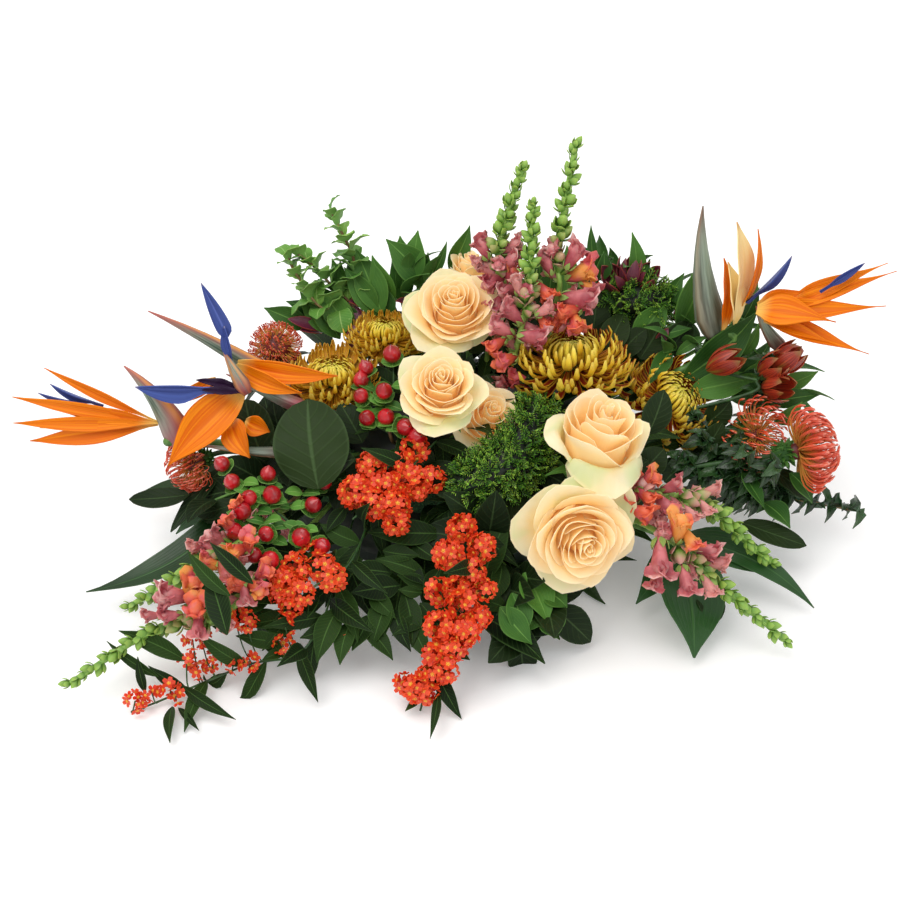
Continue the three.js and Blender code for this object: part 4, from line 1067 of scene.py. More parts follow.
def makeRose(name, rose, seed):
    luck = random.Random(seed)
    petals, green = Cloth(), Cloth()
    middle, facing, diameter = bloomAt(rose)
    seat = middle - facing * (roseForm["seat"] * diameter)
    matrix = frameAt(seat, facing, roseForm["turn"] * seed)
    for k in range(rose["petals"]):
        angle = k * goldenAngle + luck.uniform(-0.2, 0.2)
        rosePetal(petals, matrix, rose, k / (rose["petals"] - 1), angle, luck)
    settle(name + "_bloom_petals", [petals.mesh(name, skins["rosePetal"])], "rose_petal", name + "_bloom")
    green.hull(lathe(roseForm["hip"], 12, matrix))
    for k, a in enumerate(turns(roseForm["sepals"])):
        tip = matrix @ around(a, diameter * roseForm["sepalReach"], -6 + 9 * (k % 2))
        blade(green, matrix @ around(a, 5, -3), tip, roseForm["sepalWidth"], facing, sepalForm, tone=0.5)
    stem = stemMesh(stemTo(rose["foot"], seat - facing * 8, facing), roseForm["stem"], "stem", 9)
    settle(name + "_stem_green", [green.mesh("hip", skins["greenLeaf"]), stem], "rose_stem", name + "_stem")


makeAll(makeRose, roses, 3)
print("roses made")

# Chrysanthemums

chrysanthemums = {
    "chrysanthemum_top": {
        "gold": 0, "at": (571, 356, 152), "diameter": 102, "facing": (180, 72), "foot": (82, 14, 88),
    },
    "chrysanthemum_right": {
        "gold": 0, "at": (676, 398, 108), "diameter": 92, "facing": (70, 60), "foot": (110, 5, 80),
    },
    "chrysanthemum_left": {
        "gold": 0.45, "at": (333, 376, 138), "diameter": 80, "facing": (175, 84), "foot": (-69, 2, 88),
    },
    "chrysanthemum_back_left": {
        "gold": 0.5, "at": (385, 333, 146), "diameter": 66, "facing": (180, 78), "foot": (-41, 23, 88),
    },
}
floretForm = {"rows": 6, "columns": 3, "width": 0.11, "hollow": 0.75, "thickness": 0.018}


def strapFloret(name, bend, late):
    # a channel of unit length that bends towards -X, the middle of the head
    rows, columns = floretForm["rows"], floretForm["columns"]
    cloth = Cloth()
    grid, middle = [], Vector()
    for r in range(rows + 1):
        t = r / rows
        a = math.radians(bend) * t**late
        half = floretForm["width"] / 2 * (0.5 + 0.6 * math.sin(math.pi * min(1, t * 0.8 + 0.05)))
        half *= 0.5 if r == rows else 1
        inward = Vector((-math.cos(a), 0, -math.sin(a)))
        line = []
        for c in range(columns + 1):
            s = 2 * c / columns - 1
            hollow = abs(s) ** 2 * half * floretForm["hollow"]
            line.append(middle + inward * hollow + Vector((0, -s * half, 0)))
        grid.append(line)
        middle = middle + Vector((-math.sin(a), 0, math.cos(a))) / rows
    cloth.sheet(grid, floretForm["thickness"])
    return template(name, cloth, "floret")


floretRings = [  # the closed middle and the open rim; heart and size are in parts of the diameter
    {
        "sprig": strapFloret("incurvedFloret", 150, 1.2), "count": 130, "later": 0, "out": (0.0, 0.45),
        "heart": 0.14, "lean": (3, 74), "size": (0.13, 0.27), "power": 0.55, "jitter": 0.08,
    },
    {
        "sprig": strapFloret("upsweptFloret", 150, 2.4), "count": 175, "later": 40, "out": (0.45, 1.0),
        "heart": 0.15, "lean": (64, 120), "size": (0.32, 0.47), "power": 0.8, "jitter": 0.24,
    },
]


def dome(matrix, radius, height, skin, sides=14, rows=7):
    # a closed bump, round about +Z of its frame
    steps = [math.pi * (0.02 + 0.96 * r / rows) for r in range(rows + 1)]
    cloth = Cloth()
    cloth.hull(lathe([(-math.cos(a) * height, radius * math.sin(a)) for a in steps], sides, matrix))
    return cloth.mesh("dome", skins[skin])


def makeChrysanthemum(name, bloom, seed):
    middle, facing, size = bloomAt(bloom)
    matrix = frameAt(middle - facing * (0.06 * size), facing)
    meshes = []
    for ring in floretRings:
        mesh = flowerHead(
            matrix, ring["sprig"], ring["count"], "floret", size, seed + ring["later"], flatten=0.6,
            **{key: ring[key] for key in ("heart", "lean", "size", "power", "jitter")},
        )
        marks, (low, high) = mesh.attributes["out"].data, ring["out"]
        for mark in marks:
            mark.value = low + (high - low) * mark.value
        gold = mesh.attributes.new("palate", "FLOAT", "POINT")
        gold.data.foreach_set("value", [bloom["gold"]] * len(marks))
        meshes.append(mesh)
    settle(name + "_florets", meshes, "bronze_floret", name)
    base = dome(frameAt(middle - facing * (0.08 * size), facing), 0.13 * size, 0.12 * size, "stem")
    stem = stemMesh(stemTo(bloom["foot"], middle - facing * (0.1 * size), facing), 2.3, "shadeStem")
    settle(name + "_stem", [stem, base], "rose_stem")


makeAll(makeChrysanthemum, chrysanthemums, 11)
print("chrysanthemums made")

# Pincushions

pincushions = {
    "pincushion_back_left": {
        "at": (273, 345, 148), "diameter": 38, "facing": (-50, 62), "foot": (-96, 21, 84), "girth": 1.9,
        "styles": 450, "rule": {"heart": 0.36, "size": (0.2, 0.23), "lean": (3, 112), "jitter": 0.3},
    },
    "pincushion_low_left": {
        "at": (190, 466, 84), "diameter": 44, "facing": (-60, -12), "foot": (-119, -16, 63), "girth": 1,
        "styles": 250, "rule": {"heart": 0.2, "size": (0.34, 0.4), "lean": (3, 90), "jitter": 0.14},
    },
    "pincushion_right": {
        "at": (760, 438, 96), "diameter": 56, "facing": (50, 10), "foot": (117, -12, 69), "girth": 1,
        "styles": 190, "rule": {"heart": 0.16, "size": (0.34, 0.42), "lean": (3, 104), "jitter": 0.24},
    },
    "pincushion_far_right": {
        "at": (804, 450, 98), "diameter": 58, "facing": (96, 8), "foot": (119, -21, 53), "girth": 1,
        "styles": 250, "rule": {"heart": 0.12, "size": (0.45, 0.5), "lean": (3, 72), "jitter": 0.12},
    },
}
styleForm = {
    "course": [(0, 0, 0), (0.16, 0, 0.34), (0.24, 0, 0.66), (0.12, 0, 0.93), (-0.12, 0, 1.0)],
    "thin": 0.023, "knob": 0.042, "tip": 0.012,
}
scaleForm = {"widest": 0.4, "rows": 3, "columns": 2, "fold": 0.4, "thickness": 0.05, "bow": 0.12}


def curvedStyle(girth):
    # a thin style that bows outwards and hooks back in, with a knob at its tip
    cloth = Cloth()
    course = smooth([Vector(p) for p in styleForm["course"]], 2)
    last = len(course) - 1
    rings = []
    for i, at in enumerate(course):
        step = course[min(i + 1, last)] - course[max(i - 1, 0)]
        across = step.cross(Vector((0, 1, 0))).normalized()
        thick = girth * styleForm["tip" if i == last else "knob" if i == last - 1 else "thin"]
        rings.append([
            at + across * (math.cos(a) * thick) + Vector((0, math.sin(a) * thick, 0)) for a in turns(4)
        ])
    cloth.hull(rings)
    return template("style", cloth, "style")


styles = {girth: curvedStyle(girth) for girth in (1, 1.9)}
bract = leafShape("bract", 0.45, "collarLeaf", scaleForm)


def makePincushion(name, bloom, seed):
    middle, facing, size = bloomAt(bloom)
    matrix, heart = frameAt(middle - facing * (0.12 * size), facing), bloom["rule"]["heart"] * size
    head = flowerHead(
        matrix, styles[bloom["girth"]], bloom["styles"], "style", size, seed, power=0.6, **bloom["rule"]
    )
    # the heart dome under the styles is a very dark red: partly the receptacle's own colour, partly painted
    # shade between the styles
    settle(name + "_styles", [head, dome(matrix, heart, heart, "redHeart")], "pincushion_style", name)
    seat = middle - facing * (0.3 * size)
    low = frameAt(seat, -facing)
    bracts = flowerHead(
        low, bract, 46, "greenLeaf", size, seed, heart=0.1, lean=(20, 130), size=(0.08, 0.16), flatten=1.6
    )
    cone = dome(low, 0.13 * size, 0.2 * size, "greenLeaf")
    stem = stemMesh(stemTo(bloom["foot"], seat, facing), 2.2, "shadeStem")
    settle(name + "_bracts", [bracts, cone, stem], "rose_stem")


makeAll(makePincushion, pincushions, 21)
print("pincushions made")

# Birds of paradise

# each sheath: heel, throat, beak, depth and how red it is, the stem's own sheath first; each sepal, tongue,
# arrow and bud: root and tip in the view, and its width
strelitzias = {
    "strelitzia_far_left": {
        "foot": (-119, 5, 74), "stem": [(176, 442, 104)], "girth": 1.2, "look": "stem",
        "sheaths": [((184, 450, 102), (150, 420, 122), (124, 366, 162), 26, 0.9)],
        "form": {"base": 1.5, "neck": 0.16, "widest": 0.5},
        "sepals": [
            (160, 422, 119, 12, 397, 140, 11), (160, 423, 118, 13, 423, 124, 12),
            (158, 424, 117, 30, 441, 108, 16), (156, 421, 121, 44, 368, 158, 9),
            (160, 423, 121, 40, 428, 118, 10), (158, 422, 121, 62, 412, 128, 13),
        ],
        "tongues": [(104, 405, 132, 50, 384, 148, 10), (98, 406, 130, 38, 393, 140, 8)],
    },
    "strelitzia_left": {
        "foot": (-105, -7, 84), "stem": [(318, 416, 112)], "girth": 1.0, "look": "stem",
        "sheaths": [
            ((324, 414, 112), (240, 386, 140), (148, 311, 198), 20, 1),
            ((306, 452, 108), (260, 440, 118), (196, 444, 116), 10, 0.5),
            ((318, 414, 132), (284, 398, 150), (226, 374, 160), 25, 1.7),
            ((248, 394, 152), (238, 376, 162), (223, 350, 178), 13, 0.6),
        ],
        "form": {},
        "sepals": [
            (243, 388, 148, 168, 466, 102, 33), (232, 420, 128, 250, 458, 112, 26),
            (238, 362, 166, 338, 376, 160, 18), (236, 366, 163, 302, 393, 151, 17),
            (216, 378, 158, 172, 398, 142, 9), (216, 380, 156, 186, 402, 140, 7),
            (246, 420, 130, 270, 432, 124, 18),
        ],
        "tongues": [(233, 366, 166, 224, 326, 200, 9), (222, 388, 156, 135, 387, 160, 19)],
        "arrows": [(228, 337, 190, 201, 283, 234, 12)],
        "buds": [(243, 388, 154, 196, 380, 164, 7), (242, 392, 154, 202, 390, 158, 7)],
    },
    "strelitzia_right_back": {
        "foot": (100, 26, 82), "stem": [(724, 348, 134)], "girth": 1.0, "look": "stem", "pale": True,
        "sheaths": [((718, 342, 138), (734, 306, 168), (703, 206, 264), 27, 0.12)], "form": {},
        "sepals": [
            (729, 322, 158, 737, 222, 252, 28), (741, 308, 170, 758, 229, 246, 14),
            (734, 324, 160, 728, 262, 212, 22), (722, 330, 154, 724, 258, 212, 20),
        ],
        "tongues": [(746, 302, 176, 792, 256, 216, 13)],
    },
    "strelitzia_right": {
        "foot": (114, 26, 67), "stem": [Vector((206, 74, 66)), (794, 356, 132)], "girth": 1.0,
        "look": "redStem", "sheaths": [((786, 352, 134), (772, 326, 160), (756, 306, 178), 15, 0.85)],
        "form": {"widest": 0.3, "blunt": 2.0, "base": 0.7, "neck": 0.3},
        "sepals": [
            (790, 302, 182, 888, 263, 222, 15), (786, 306, 180, 897, 271, 216, 14),
            (760, 312, 174, 886, 306, 190, 19), (762, 316, 172, 869, 354, 152, 18),
            (757, 310, 178, 836, 322, 182, 27), (764, 320, 172, 838, 346, 160, 12),
            (758, 306, 178, 818, 290, 194, 18),
        ],
        "tongues": [(820, 292, 200, 865, 263, 224, 6)],
    },
}
spatheForm = [  # place along the sheath, its height there in parts of its depth, and its half width
    (0, 0.42, 3.5), (0.1, 0.8, 5.4), (0.22, 1, 6.6), (0.38, 0.82, 5.6), (0.55, 0.62, 4.4), (0.7, 0.44, 3),
    (0.82, 0.3, 2.1), (0.92, 0.16, 1.2), (1, 0.05, 0.4),
]
orangeForm = {
    "rows": 14, "columns": 6, "widest": 0.42, "blunt": 1.15, "base": 0.55, "neck": 0.22, "bow": 0.06,
    "fold": 0.42, "crease": 1.1, "thickness": 0.9, "wave": 0.06,
}
tongueForm = {
    "rows": 14, "columns": 4, "widest": 0.5, "blunt": 0.9, "base": 2.6, "neck": 0.36, "bow": 0.02,
    "fold": 0.8, "crease": 1.0, "thickness": 0.9,
}
arrowForm = tongueForm | {"base": 0.5, "neck": 0.1, "widest": 0.2, "fold": 0.5}
blueBudForm = tongueForm | {"base": 0.8, "wave": 0.3}


def riseOf(heel, throat, beak):
    along, rise = (beak - heel).normalized(), throat - heel
    return (rise - along * rise.dot(along)).normalized()


def sheath(cloth, heel, throat, beak, depth, red, girth):
    rise = riseOf(heel, throat, beak)
    side = (beak - heel).normalized().cross(rise)
    keel = [heel, heel.lerp(beak, 0.5) - rise * (depth * 0.5), beak]
    rings = []
    for t, tall, wide in spatheForm:
        middle = bezier(keel, t)
        ring = []
        for a in turns(16):
            # round below, creased along the lip at the top
            x, z = math.sin(a), -math.cos(a)
            half = x * wide * girth * (1 - 0.45 * max(0, z))
            ring.append(middle + rise * ((z * 0.5) * tall * depth) + side * half)
        rings.append(ring)
    cloth.hull(rings, out=red)


def makeStrelitzia(name, bird, seed):
    green, orange, blue = Cloth(), Cloth(), Cloth()
    for *places, depth, red in bird["sheaths"]:
        sheath(green, *(spot(p) for p in places), depth, red, bird["girth"])
    heel, throat, beak = (spot(p) for p in bird["sheaths"][0][:3])
    rise = riseOf(heel, throat, beak)
    stem = stemThrough(bird["foot"], [*bird["stem"], heel.lerp(beak, 0.1)])
    stem = stemMesh(stem, 3.8, bird["look"], 9)
    settle(name + "_beak", [green.mesh(name, skins["spathe"]), stem], "spathe", name + "_spathe")
    luck = random.Random(seed)
    pale = bird.get("pale", False)
    face = (rise * 0.6 + Vector((0, -0.5, 0.7))).normalized()
    for k, leaf in enumerate(bird["sepals"]):
        changes = {"twist": luck.uniform(-0.4, 0.4), "sweep": luck.uniform(-0.03, 0.03)} | bird["form"]
        out = 1.0 if pale and k % 2 == 0 else 0.0
        blade(orange, *ends(leaf), face, orangeForm | changes, out=out, tone=luck.random())
    settle(name + "_orange", [orange.mesh(name, skins["sepal"])], "orange_sepal", name + "_sepals")
    upwards = (rise + Vector((0, -0.5, 0.6))).normalized()
    for leaf in bird["tongues"]:
        blade(blue, *ends(leaf), upwards, tongueForm, tone=luck.random())
    for leaf in bird.get("arrows", []):
        blade(blue, *ends(leaf), Vector((0, -0.6, 0.8)), arrowForm, tone=0.6)
    for leaf in bird.get("buds", []):
        blade(blue, *ends(leaf), Vector((0, -0.6, 0.8)), blueBudForm, out=1.0, tone=luck.random())
    nodes = [] if pale else [name + "_tongue"]
    settle(name + "_blue", [blue.mesh(name, skins["tongue"])], "blue_tongue", *nodes)


makeAll(makeStrelitzia, strelitzias, 0)
print("birds of paradise made")

# Snapdragons

# each open flower: column, row and height of its middle, the way its mouth looks in the view (degrees from
# the right, upwards), how far it turns to the viewer, its length and its tone: pink below 0.6, flame above
snapdragons = {
    "snapdragon_back_left": {
        "foot": (25, 39, 86), "places": [(497, 284, 198), (501, 236, 238), (522, 170, 290)], "flowers": 6,
        "from": 0.38,
        "open": [
            (482, 247, 228, 118, 0.2, 24, 0.4), (480, 262, 214, 190, 0.3, 18, 0.1),
            (513, 247, 230, 24, 0.3, 22, 0.2), (511, 262, 220, 34, 0.3, 24, 0.5),
            (511, 274, 210, 70, 0.6, 20, 0.9), (494, 282, 204, 205, 0.5, 26, 0.4),
            (509, 291, 200, 190, 0.3, 24, 0.5), (499, 302, 190, 230, 0.3, 22, 0.45),
        ],
    },
    "snapdragon_back_mid": {
        "foot": (39, 26, 88), "places": [(516, 350, 160), (528, 290, 208), (533, 204, 270)], "flowers": 6,
        "from": 0.34,
        "open": [
            (511, 313, 192, 140, 0.3, 27, 0.35), (500, 329, 182, 152, 0.3, 26, 0.5),
            (496, 345, 172, 215, 0.4, 22, 0.8), (505, 361, 164, 200, 0.7, 26, 0.7),
            (534, 338, 182, -8, 0.3, 28, 0.5), (546, 310, 200, 28, 0.3, 20, 0.1),
            (543, 322, 188, -60, 0.4, 18, 0.85), (517, 284, 214, 104, 0.3, 20, 0.05),
            (544, 292, 204, -50, 0.4, 24, 0.95), (530, 330, 176, -40, 0.1, 24, 0.5),
            (519, 380, 142, 170, 0.3, 24, 0.75),
        ],
    },
    "snapdragon_back_right": {
        "foot": (53, 39, 86), "places": [(557, 300, 190), (557, 252, 228), (575, 147, 308)], "flowers": 6,
        "from": 0.34,
        "open": [
            (575, 255, 230, 58, 0.3, 28, 0.3), (583, 273, 214, 20, 0.5, 32, 0.9),
            (581, 300, 200, -5, 0.3, 36, 0.3), (568, 312, 194, 195, 0.5, 26, 0.85),
            (575, 322, 186, -70, 0.6, 28, 0.97), (546, 262, 222, 110, 0.2, 24, 0.5),
            (558, 322, 182, 210, 0.3, 22, 0.8), (590, 288, 204, -30, 0.4, 20, 0.97),
        ],
    },
    "snapdragon_right_high": {
        "foot": (100, -30, 78), "places": [(648, 492, 108), (700, 503, 92), (771, 562, 40)], "flowers": 5,
        "from": 0.3,
        "open": [
            (650, 481, 124, 40, 0.6, 24, 0.8), (632, 481, 122, 110, 0.8, 26, 0.95),
            (629, 500, 116, 205, 0.8, 28, 0.97), (641, 513, 112, -20, 0.5, 26, 0.75),
            (646, 497, 118, -40, 0.5, 22, 0.8), (664, 505, 112, -48, 0.3, 26, 0.45),
            (673, 487, 116, 20, 0.3, 22, 0.3), (712, 491, 100, 12, 0.2, 19, 0.05),
            (690, 514, 98, -50, 0.3, 20, 0.1), (705, 508, 96, -55, 0.3, 18, 0.02),
        ],
    },
    "snapdragon_right_low": {
        "foot": (89, -40, 69), "places": [(658, 532, 92), (714, 580, 62), (785, 640, 20)], "flowers": 4,
        "from": 0.3,
        "open": [
            (680, 527, 108, 80, 0.6, 30, 0.92), (668, 534, 100, 170, 0.6, 24, 0.5),
            (660, 560, 90, -90, 0.3, 36, 0.45), (657, 580, 78, -110, 0.4, 24, 0.55),
            (706, 552, 82, -12, 0.2, 26, 0.35), (718, 564, 74, -3, 0.2, 22, 0.1),
            (686, 582, 74, -75, 0.3, 28, 0.3), (709, 587, 64, -62, 0.3, 22, 0.02),
            (690, 540, 98, -60, 0.4, 24, 0.7),
        ],
    },
    "snapdragon_left_high": {
        "foot": (-100, -32, 76), "places": [(235, 545, 90), (185, 574, 66), (130, 606, 38)], "flowers": 6,
        "from": 0.34,
        "open": [
            (198, 548, 86, 178, 0.2, 20, 0.05), (215, 539, 96, 130, 0.5, 24, 0.2),
            (228, 525, 102, 110, 0.5, 22, 0.7), (236, 552, 98, 200, 0.7, 26, 0.85),
            (249, 543, 104, 80, 0.7, 22, 0.97), (210, 564, 84, 160, 0.4, 24, 0.8),
            (224, 573, 80, -60, 0.4, 22, 0.6), (238, 508, 108, 120, 0.5, 20, 0.97),
        ],
    },
    "snapdragon_left_low": {
        "foot": (-87, -42, 67), "places": [(230, 610, 62), (160, 627, 46), (70, 683, 24)], "flowers": 6,
        "from": 0.34,
        "open": [
            (170, 616, 66, 185, 0.2, 20, 0.35), (151, 616, 62, 180, 0.2, 17, 0.2),
            (172, 597, 76, 175, 0.6, 34, 0.5), (191, 588, 80, 70, 0.6, 28, 0.8),
            (197, 612, 72, 100, 0.85, 30, 0.9), (198, 626, 64, -90, 0.3, 24, 0.5),
            (263, 573, 88, 40, 0.7, 22, 0.97), (256, 588, 84, -30, 0.8, 24, 0.9),
            (239, 586, 82, 150, 0.5, 26, 0.75), (245, 596, 78, -80, 0.4, 22, 0.5),
        ],
    },
}
snapForm = {
    "pouch": [
        (0.0, 0.05), (0.08, 0.12), (0.25, 0.16), (0.42, 0.2), (0.58, 0.24), (0.7, 0.24), (0.82, 0.17),
        (0.88, 0.05),
    ],
    "lips": [  # angle, reach, width and how far forward
        (62, 0.4, 0.5, 1.02), (118, 0.37, 0.52, 0.97), (214, 0.34, 0.28, 0.82), (268, 0.31, 0.33, 0.76),
        (326, 0.35, 0.27, 0.78),
    ],
    "bud": [(0.0, 0.1), (0.2, 0.24), (0.45, 0.3), (0.7, 0.25), (0.9, 0.12), (1.0, 0.03)],
    "fullness": 1.22, "turned": 0.65, "stem": 2.3, "buds": 19, "switch": 0.48,
}
lipForm = {
    "rows": 5, "columns": 4, "thickness": 0.025, "widest": 0.66, "blunt": 0.42, "bow": 0.24, "fold": -0.5,
    "base": 0.5, "wave": 0.42,
}
calyxForm = {"rows": 3, "columns": 2, "thickness": 0.02}
budSepalForm = {"rows": 4, "columns": 2, "thickness": 0.04, "bow": -0.16, "widest": 0.55, "blunt": 0.6}
flowerRule = {"lean": (72, 56), "size": (26, 20), "lift": -0.05, "jitter": 0.6}
budRule = {"lean": (56, 30), "size": (16.5, 9.5), "jitter": 0.35}


def snapFlower():
    # a long swollen pouch, two ruffled lobes standing over its mouth and three small ones under it
    cloth = Cloth()
    sides = [(math.cos(a), math.sin(a), 1.15 if a < math.pi else 0.95) for a in turns(10)]
    rings = [[Vector((x * r * 0.85, y * r * tall, z)) for x, y, tall in sides] for z, r in snapForm["pouch"]]
    cloth.hull(rings, palate=0.0)
    for k, (angle, reach, width, forward) in enumerate(snapForm["lips"]):
        out = around(math.radians(angle), 1)
        root, tip = out * 0.14 + Vector((0, 0, 0.52)), out * reach + Vector((0, 0, forward))
        blade(cloth, root, tip, width, up - out * 0.7, lipForm | {"twist": 0.4 - 0.22 * k}, palate=0.0)
    rings = []
    for r in range(4):
        a = math.pi * (0.04 + 0.44 * r / 3)
        flat, z = math.cos(a - 0.1), 0.76 + 0.09 * math.sin(a)
        rings.append([
            Vector((math.cos(t) * 0.11 * flat, math.sin(t) * 0.07 * flat - 0.08, z)) for t in turns(6)
        ])
    cloth.hull(rings, palate=1.0)
    for a in turns(5):
        root = around(a, 0.07)
        blade(cloth, root, around(a, 0.2, 0.26), 0.16, root + Vector((0, 0, 0.1)), calyxForm, palate=-1.0)
    return template("snapFlower", cloth, "snapPetal")


def budShape():
    # a closed bud held by rounded sepals
    cloth = Cloth()
    cloth.hull(lathe(snapForm["bud"], 7))
    for a in turns(4):
        root = around(a, 0.12, -0.05)
        blade(cloth, root, around(a, 0.44, 0.62), 0.46, -root + Vector((0, 0, 0.3)), budSepalForm)
    return template("snapBud", cloth, "bud")


snap, bud = snapFlower(), budShape()


def openFlower(column, row, height, angle, turned, length, tone):
    a, turned = math.radians(angle), turned * snapForm["turned"]
    flat = Vector((1, 0, 0)) * math.cos(a) + viewAbove * math.sin(a)
    way = (flat * (1 - turned) + viewBack * turned).normalized()
    side = (viewAbove + viewBack * 0.6).cross(way).normalized()
    turn = Matrix((side, way.cross(side), way)).transposed().to_4x4()
    size = length * view["mmPerPixel"] * snapForm["fullness"] * mm
    root = seen(column, row, height) * mm - way * (size * 0.5)
    mesh = snap.data.copy()
    mesh.transform(Matrix.Translation(root) @ turn @ Matrix.Scale(size, 4))
    mesh.attributes.new("tone", "FLOAT", "POINT").data.foreach_set("value", [tone] * len(mesh.vertices))
    return mesh


def makeSnapdragon(name, spike, seed):
    course, start = stemThrough(spike["foot"], spike["places"]), spike["from"]
    switch = start + (1 - start) * snapForm["switch"]
    flowers = [openFlower(*flower) for flower in spike["open"]]
    flowers.append(
        alongStem(course, snap, spike["flowers"], "snapPetal", seed, start=start, end=switch, **flowerRule)
    )
    flowers.append(
        alongStem(course, bud, snapForm["buds"], "bud", seed, start=switch - 0.04, end=1.0, **budRule)
    )
    settle(name + "_flowers", flowers, "snapdragon_flower", name)
    settle(name + "_stalk", [stemMesh(course, snapForm["stem"], "limeStem")], "rose_stem")


makeAll(makeSnapdragon, snapdragons, 31)
print("snapdragons made")

# Hypericum

hypericums = {
    "hypericum_mid": {
        "foot": (-41, -4, 88), "places": [(392, 440, 118), (384, 405, 136)],
        "berries": [
            (392, 354, 164), (366, 368, 158), (361, 380, 152), (361, 396, 148), (384, 391, 154),
            (367, 418, 138), (386, 417, 140), (405, 427, 138), (417, 436, 134),
        ],
    },
    "hypericum_left": {
        "foot": (-93, -21, 82), "places": [(285, 505, 96), (256, 505, 98)],
        "berries": [
            (222, 464, 116), (232, 482, 112), (268, 474, 116), (272, 495, 110), (249, 498, 112),
            (242, 511, 106), (234, 531, 96), (266, 534, 100), (254, 555, 88), (270, 560, 86),
            (301, 537, 98), (313, 505, 100), (324, 482, 106), (322, 546, 92),
        ],
    },
}
berryForm = {
    "size": 15.5, "collar": 0.6,
    "profile": [
        (0.0, 0.1), (0.05, 0.24), (0.2, 0.4), (0.42, 0.46), (0.62, 0.42), (0.8, 0.27), (0.9, 0.12),
        (1.0, 0.03),
    ],
}
collarForm = {
    "rows": 5, "columns": 2, "bow": -0.12, "widest": 0.55, "blunt": 0.55, "thickness": 0.5, "fold": 0.2,
}
twigLeafForm = {"rows": 6, "columns": 2, "thickness": 0.5, "blunt": 0.6}


def makeHypericum(name, twigs, seed):
    luck = random.Random(seed)
    course = stemThrough(twigs["foot"], twigs["places"])
    berries, greens, stems = Cloth(), Cloth(), [stemMesh(course, 1.5, "twig")]
    for place in twigs["berries"]:
        centre = seen(*place)
        fork = course[int((0.6 + 0.38 * luck.random()) * (len(course) - 1))]
        lean = Vector((luck.uniform(-0.3, 0.3), luck.uniform(-0.3, 0.3), 0))
        way = ((centre - fork).normalized() * 0.6 + Vector((0, -0.3, 0.7)) + lean).normalized()
        size = berryForm["size"] * luck.uniform(0.88, 1.08)
        seat = centre - way * (size * 0.42)
        matrix = frameAt(seat, way)
        rings = [[matrix @ (p * size) for p in ring] for ring in lathe(berryForm["profile"], 12)]
        berries.hull(rings, tone=luck.random())
        for a in turns(5, luck.random()):
            root = matrix @ (around(a, 0.1, -0.04) * size)
            tip = matrix @ (around(a, berryForm["collar"], 0.1) * size)
            blade(greens, root, tip, size * 0.64, way, collarForm, tone=luck.random())
        bend = fork.lerp(seat, 0.55) + Vector((luck.uniform(-4, 4), luck.uniform(-4, 4), -3))
        stems.append(stemMesh(smooth([fork, bend, seat], 5), 0.6, "shadeStem", 6))
        for side in (-1, 1):
            root = fork.lerp(seat, 0.62)
            tip = root + Vector((side * 14, luck.uniform(-9, 3), luck.uniform(-2, 8)))
            blade(greens, root, tip, 12, up, twigLeafForm, tone=luck.random())
    settle(name + "_berries", [berries.mesh(name, skins["berry"])], "berry", name)
    settle(name + "_greens", [greens.mesh(name, skins["collarLeaf"]), *stems], "light_leaf")


makeAll(makeHypericum, hypericums, 41)
print("hypericum made")

# Scarlet sprays

# each cluster: column, row and height of its middle, and its radius
sprays = {
    "euphorbia_mid": {
        "girth": 0.86, "foot": (-23, -30, 86),
        "places": [(436, 430, 132), (404, 462, 128), (352, 508, 104)],
        "clusters": [
            (353, 490, 112, 15), (370, 463, 124, 13), (372, 503, 110, 14), (393, 505, 108, 15),
            (396, 468, 122, 16), (414, 446, 130, 13), (414, 482, 116, 16), (396, 522, 100, 12),
            (432, 478, 116, 12), (383, 486, 116, 14), (404, 480, 118, 13),
        ],
        "leaves": 4,
    },
    "euphorbia_front": {
        "girth": 0.74, "foot": (12, -42, 74), "places": [(474, 545, 96), (446, 610, 66), (420, 700, 16)],
        "clusters": [
            (462, 528, 104, 15), (482, 548, 96, 15), (448, 556, 96, 16), (470, 575, 86, 17),
            (440, 592, 80, 15), (462, 606, 74, 17), (438, 626, 66, 15), (466, 634, 62, 14),
            (436, 656, 46, 14), (446, 672, 40, 13), (416, 690, 26, 14), (404, 684, 24, 11),
            (430, 676, 34, 13), (454, 650, 52, 13), (484, 590, 80, 12), (480, 618, 66, 12),
            (458, 590, 80, 13), (450, 634, 60, 13), (428, 694, 24, 11),
        ],
        "leaves": 5,
    },
    "euphorbia_left": {
        "foot": (-55, -40, 76), "places": [(352, 548, 92), (318, 572, 86), (278, 604, 62)],
        "clusters": [
            (283, 584, 76, 12), (292, 570, 82, 12), (298, 592, 72, 11), (318, 566, 86, 11),
            (330, 578, 80, 11), (312, 554, 90, 9), (290, 606, 62, 9), (276, 592, 70, 9),
        ],
        "leaves": 7,
    },
    "euphorbia_trailing": {
        "foot": (-73, -46, 63), "places": [(312, 628, 50), (240, 656, 30), (130, 702, 12)],
        "clusters": [
            (284, 628, 50, 7), (281, 645, 40, 8), (244, 622, 56, 9), (232, 616, 58, 8), (247, 662, 30, 8),
            (210, 662, 28, 8), (196, 672, 22, 7), (184, 660, 30, 8), (198, 637, 44, 9), (190, 640, 44, 8),
            (168, 690, 18, 7), (174, 697, 16, 7), (150, 694, 16, 6), (132, 702, 14, 9), (140, 700, 14, 6),
            (232, 664, 26, 7), (344, 642, 34, 7),
        ],
        "leaves": 14, "spacing": 6.4, "floret": 8.4,
    },
}
sprayLeafRule = {"start": 0.22, "end": 0.86, "lean": (66, 52), "size": (62, 44), "jitter": 0.3}


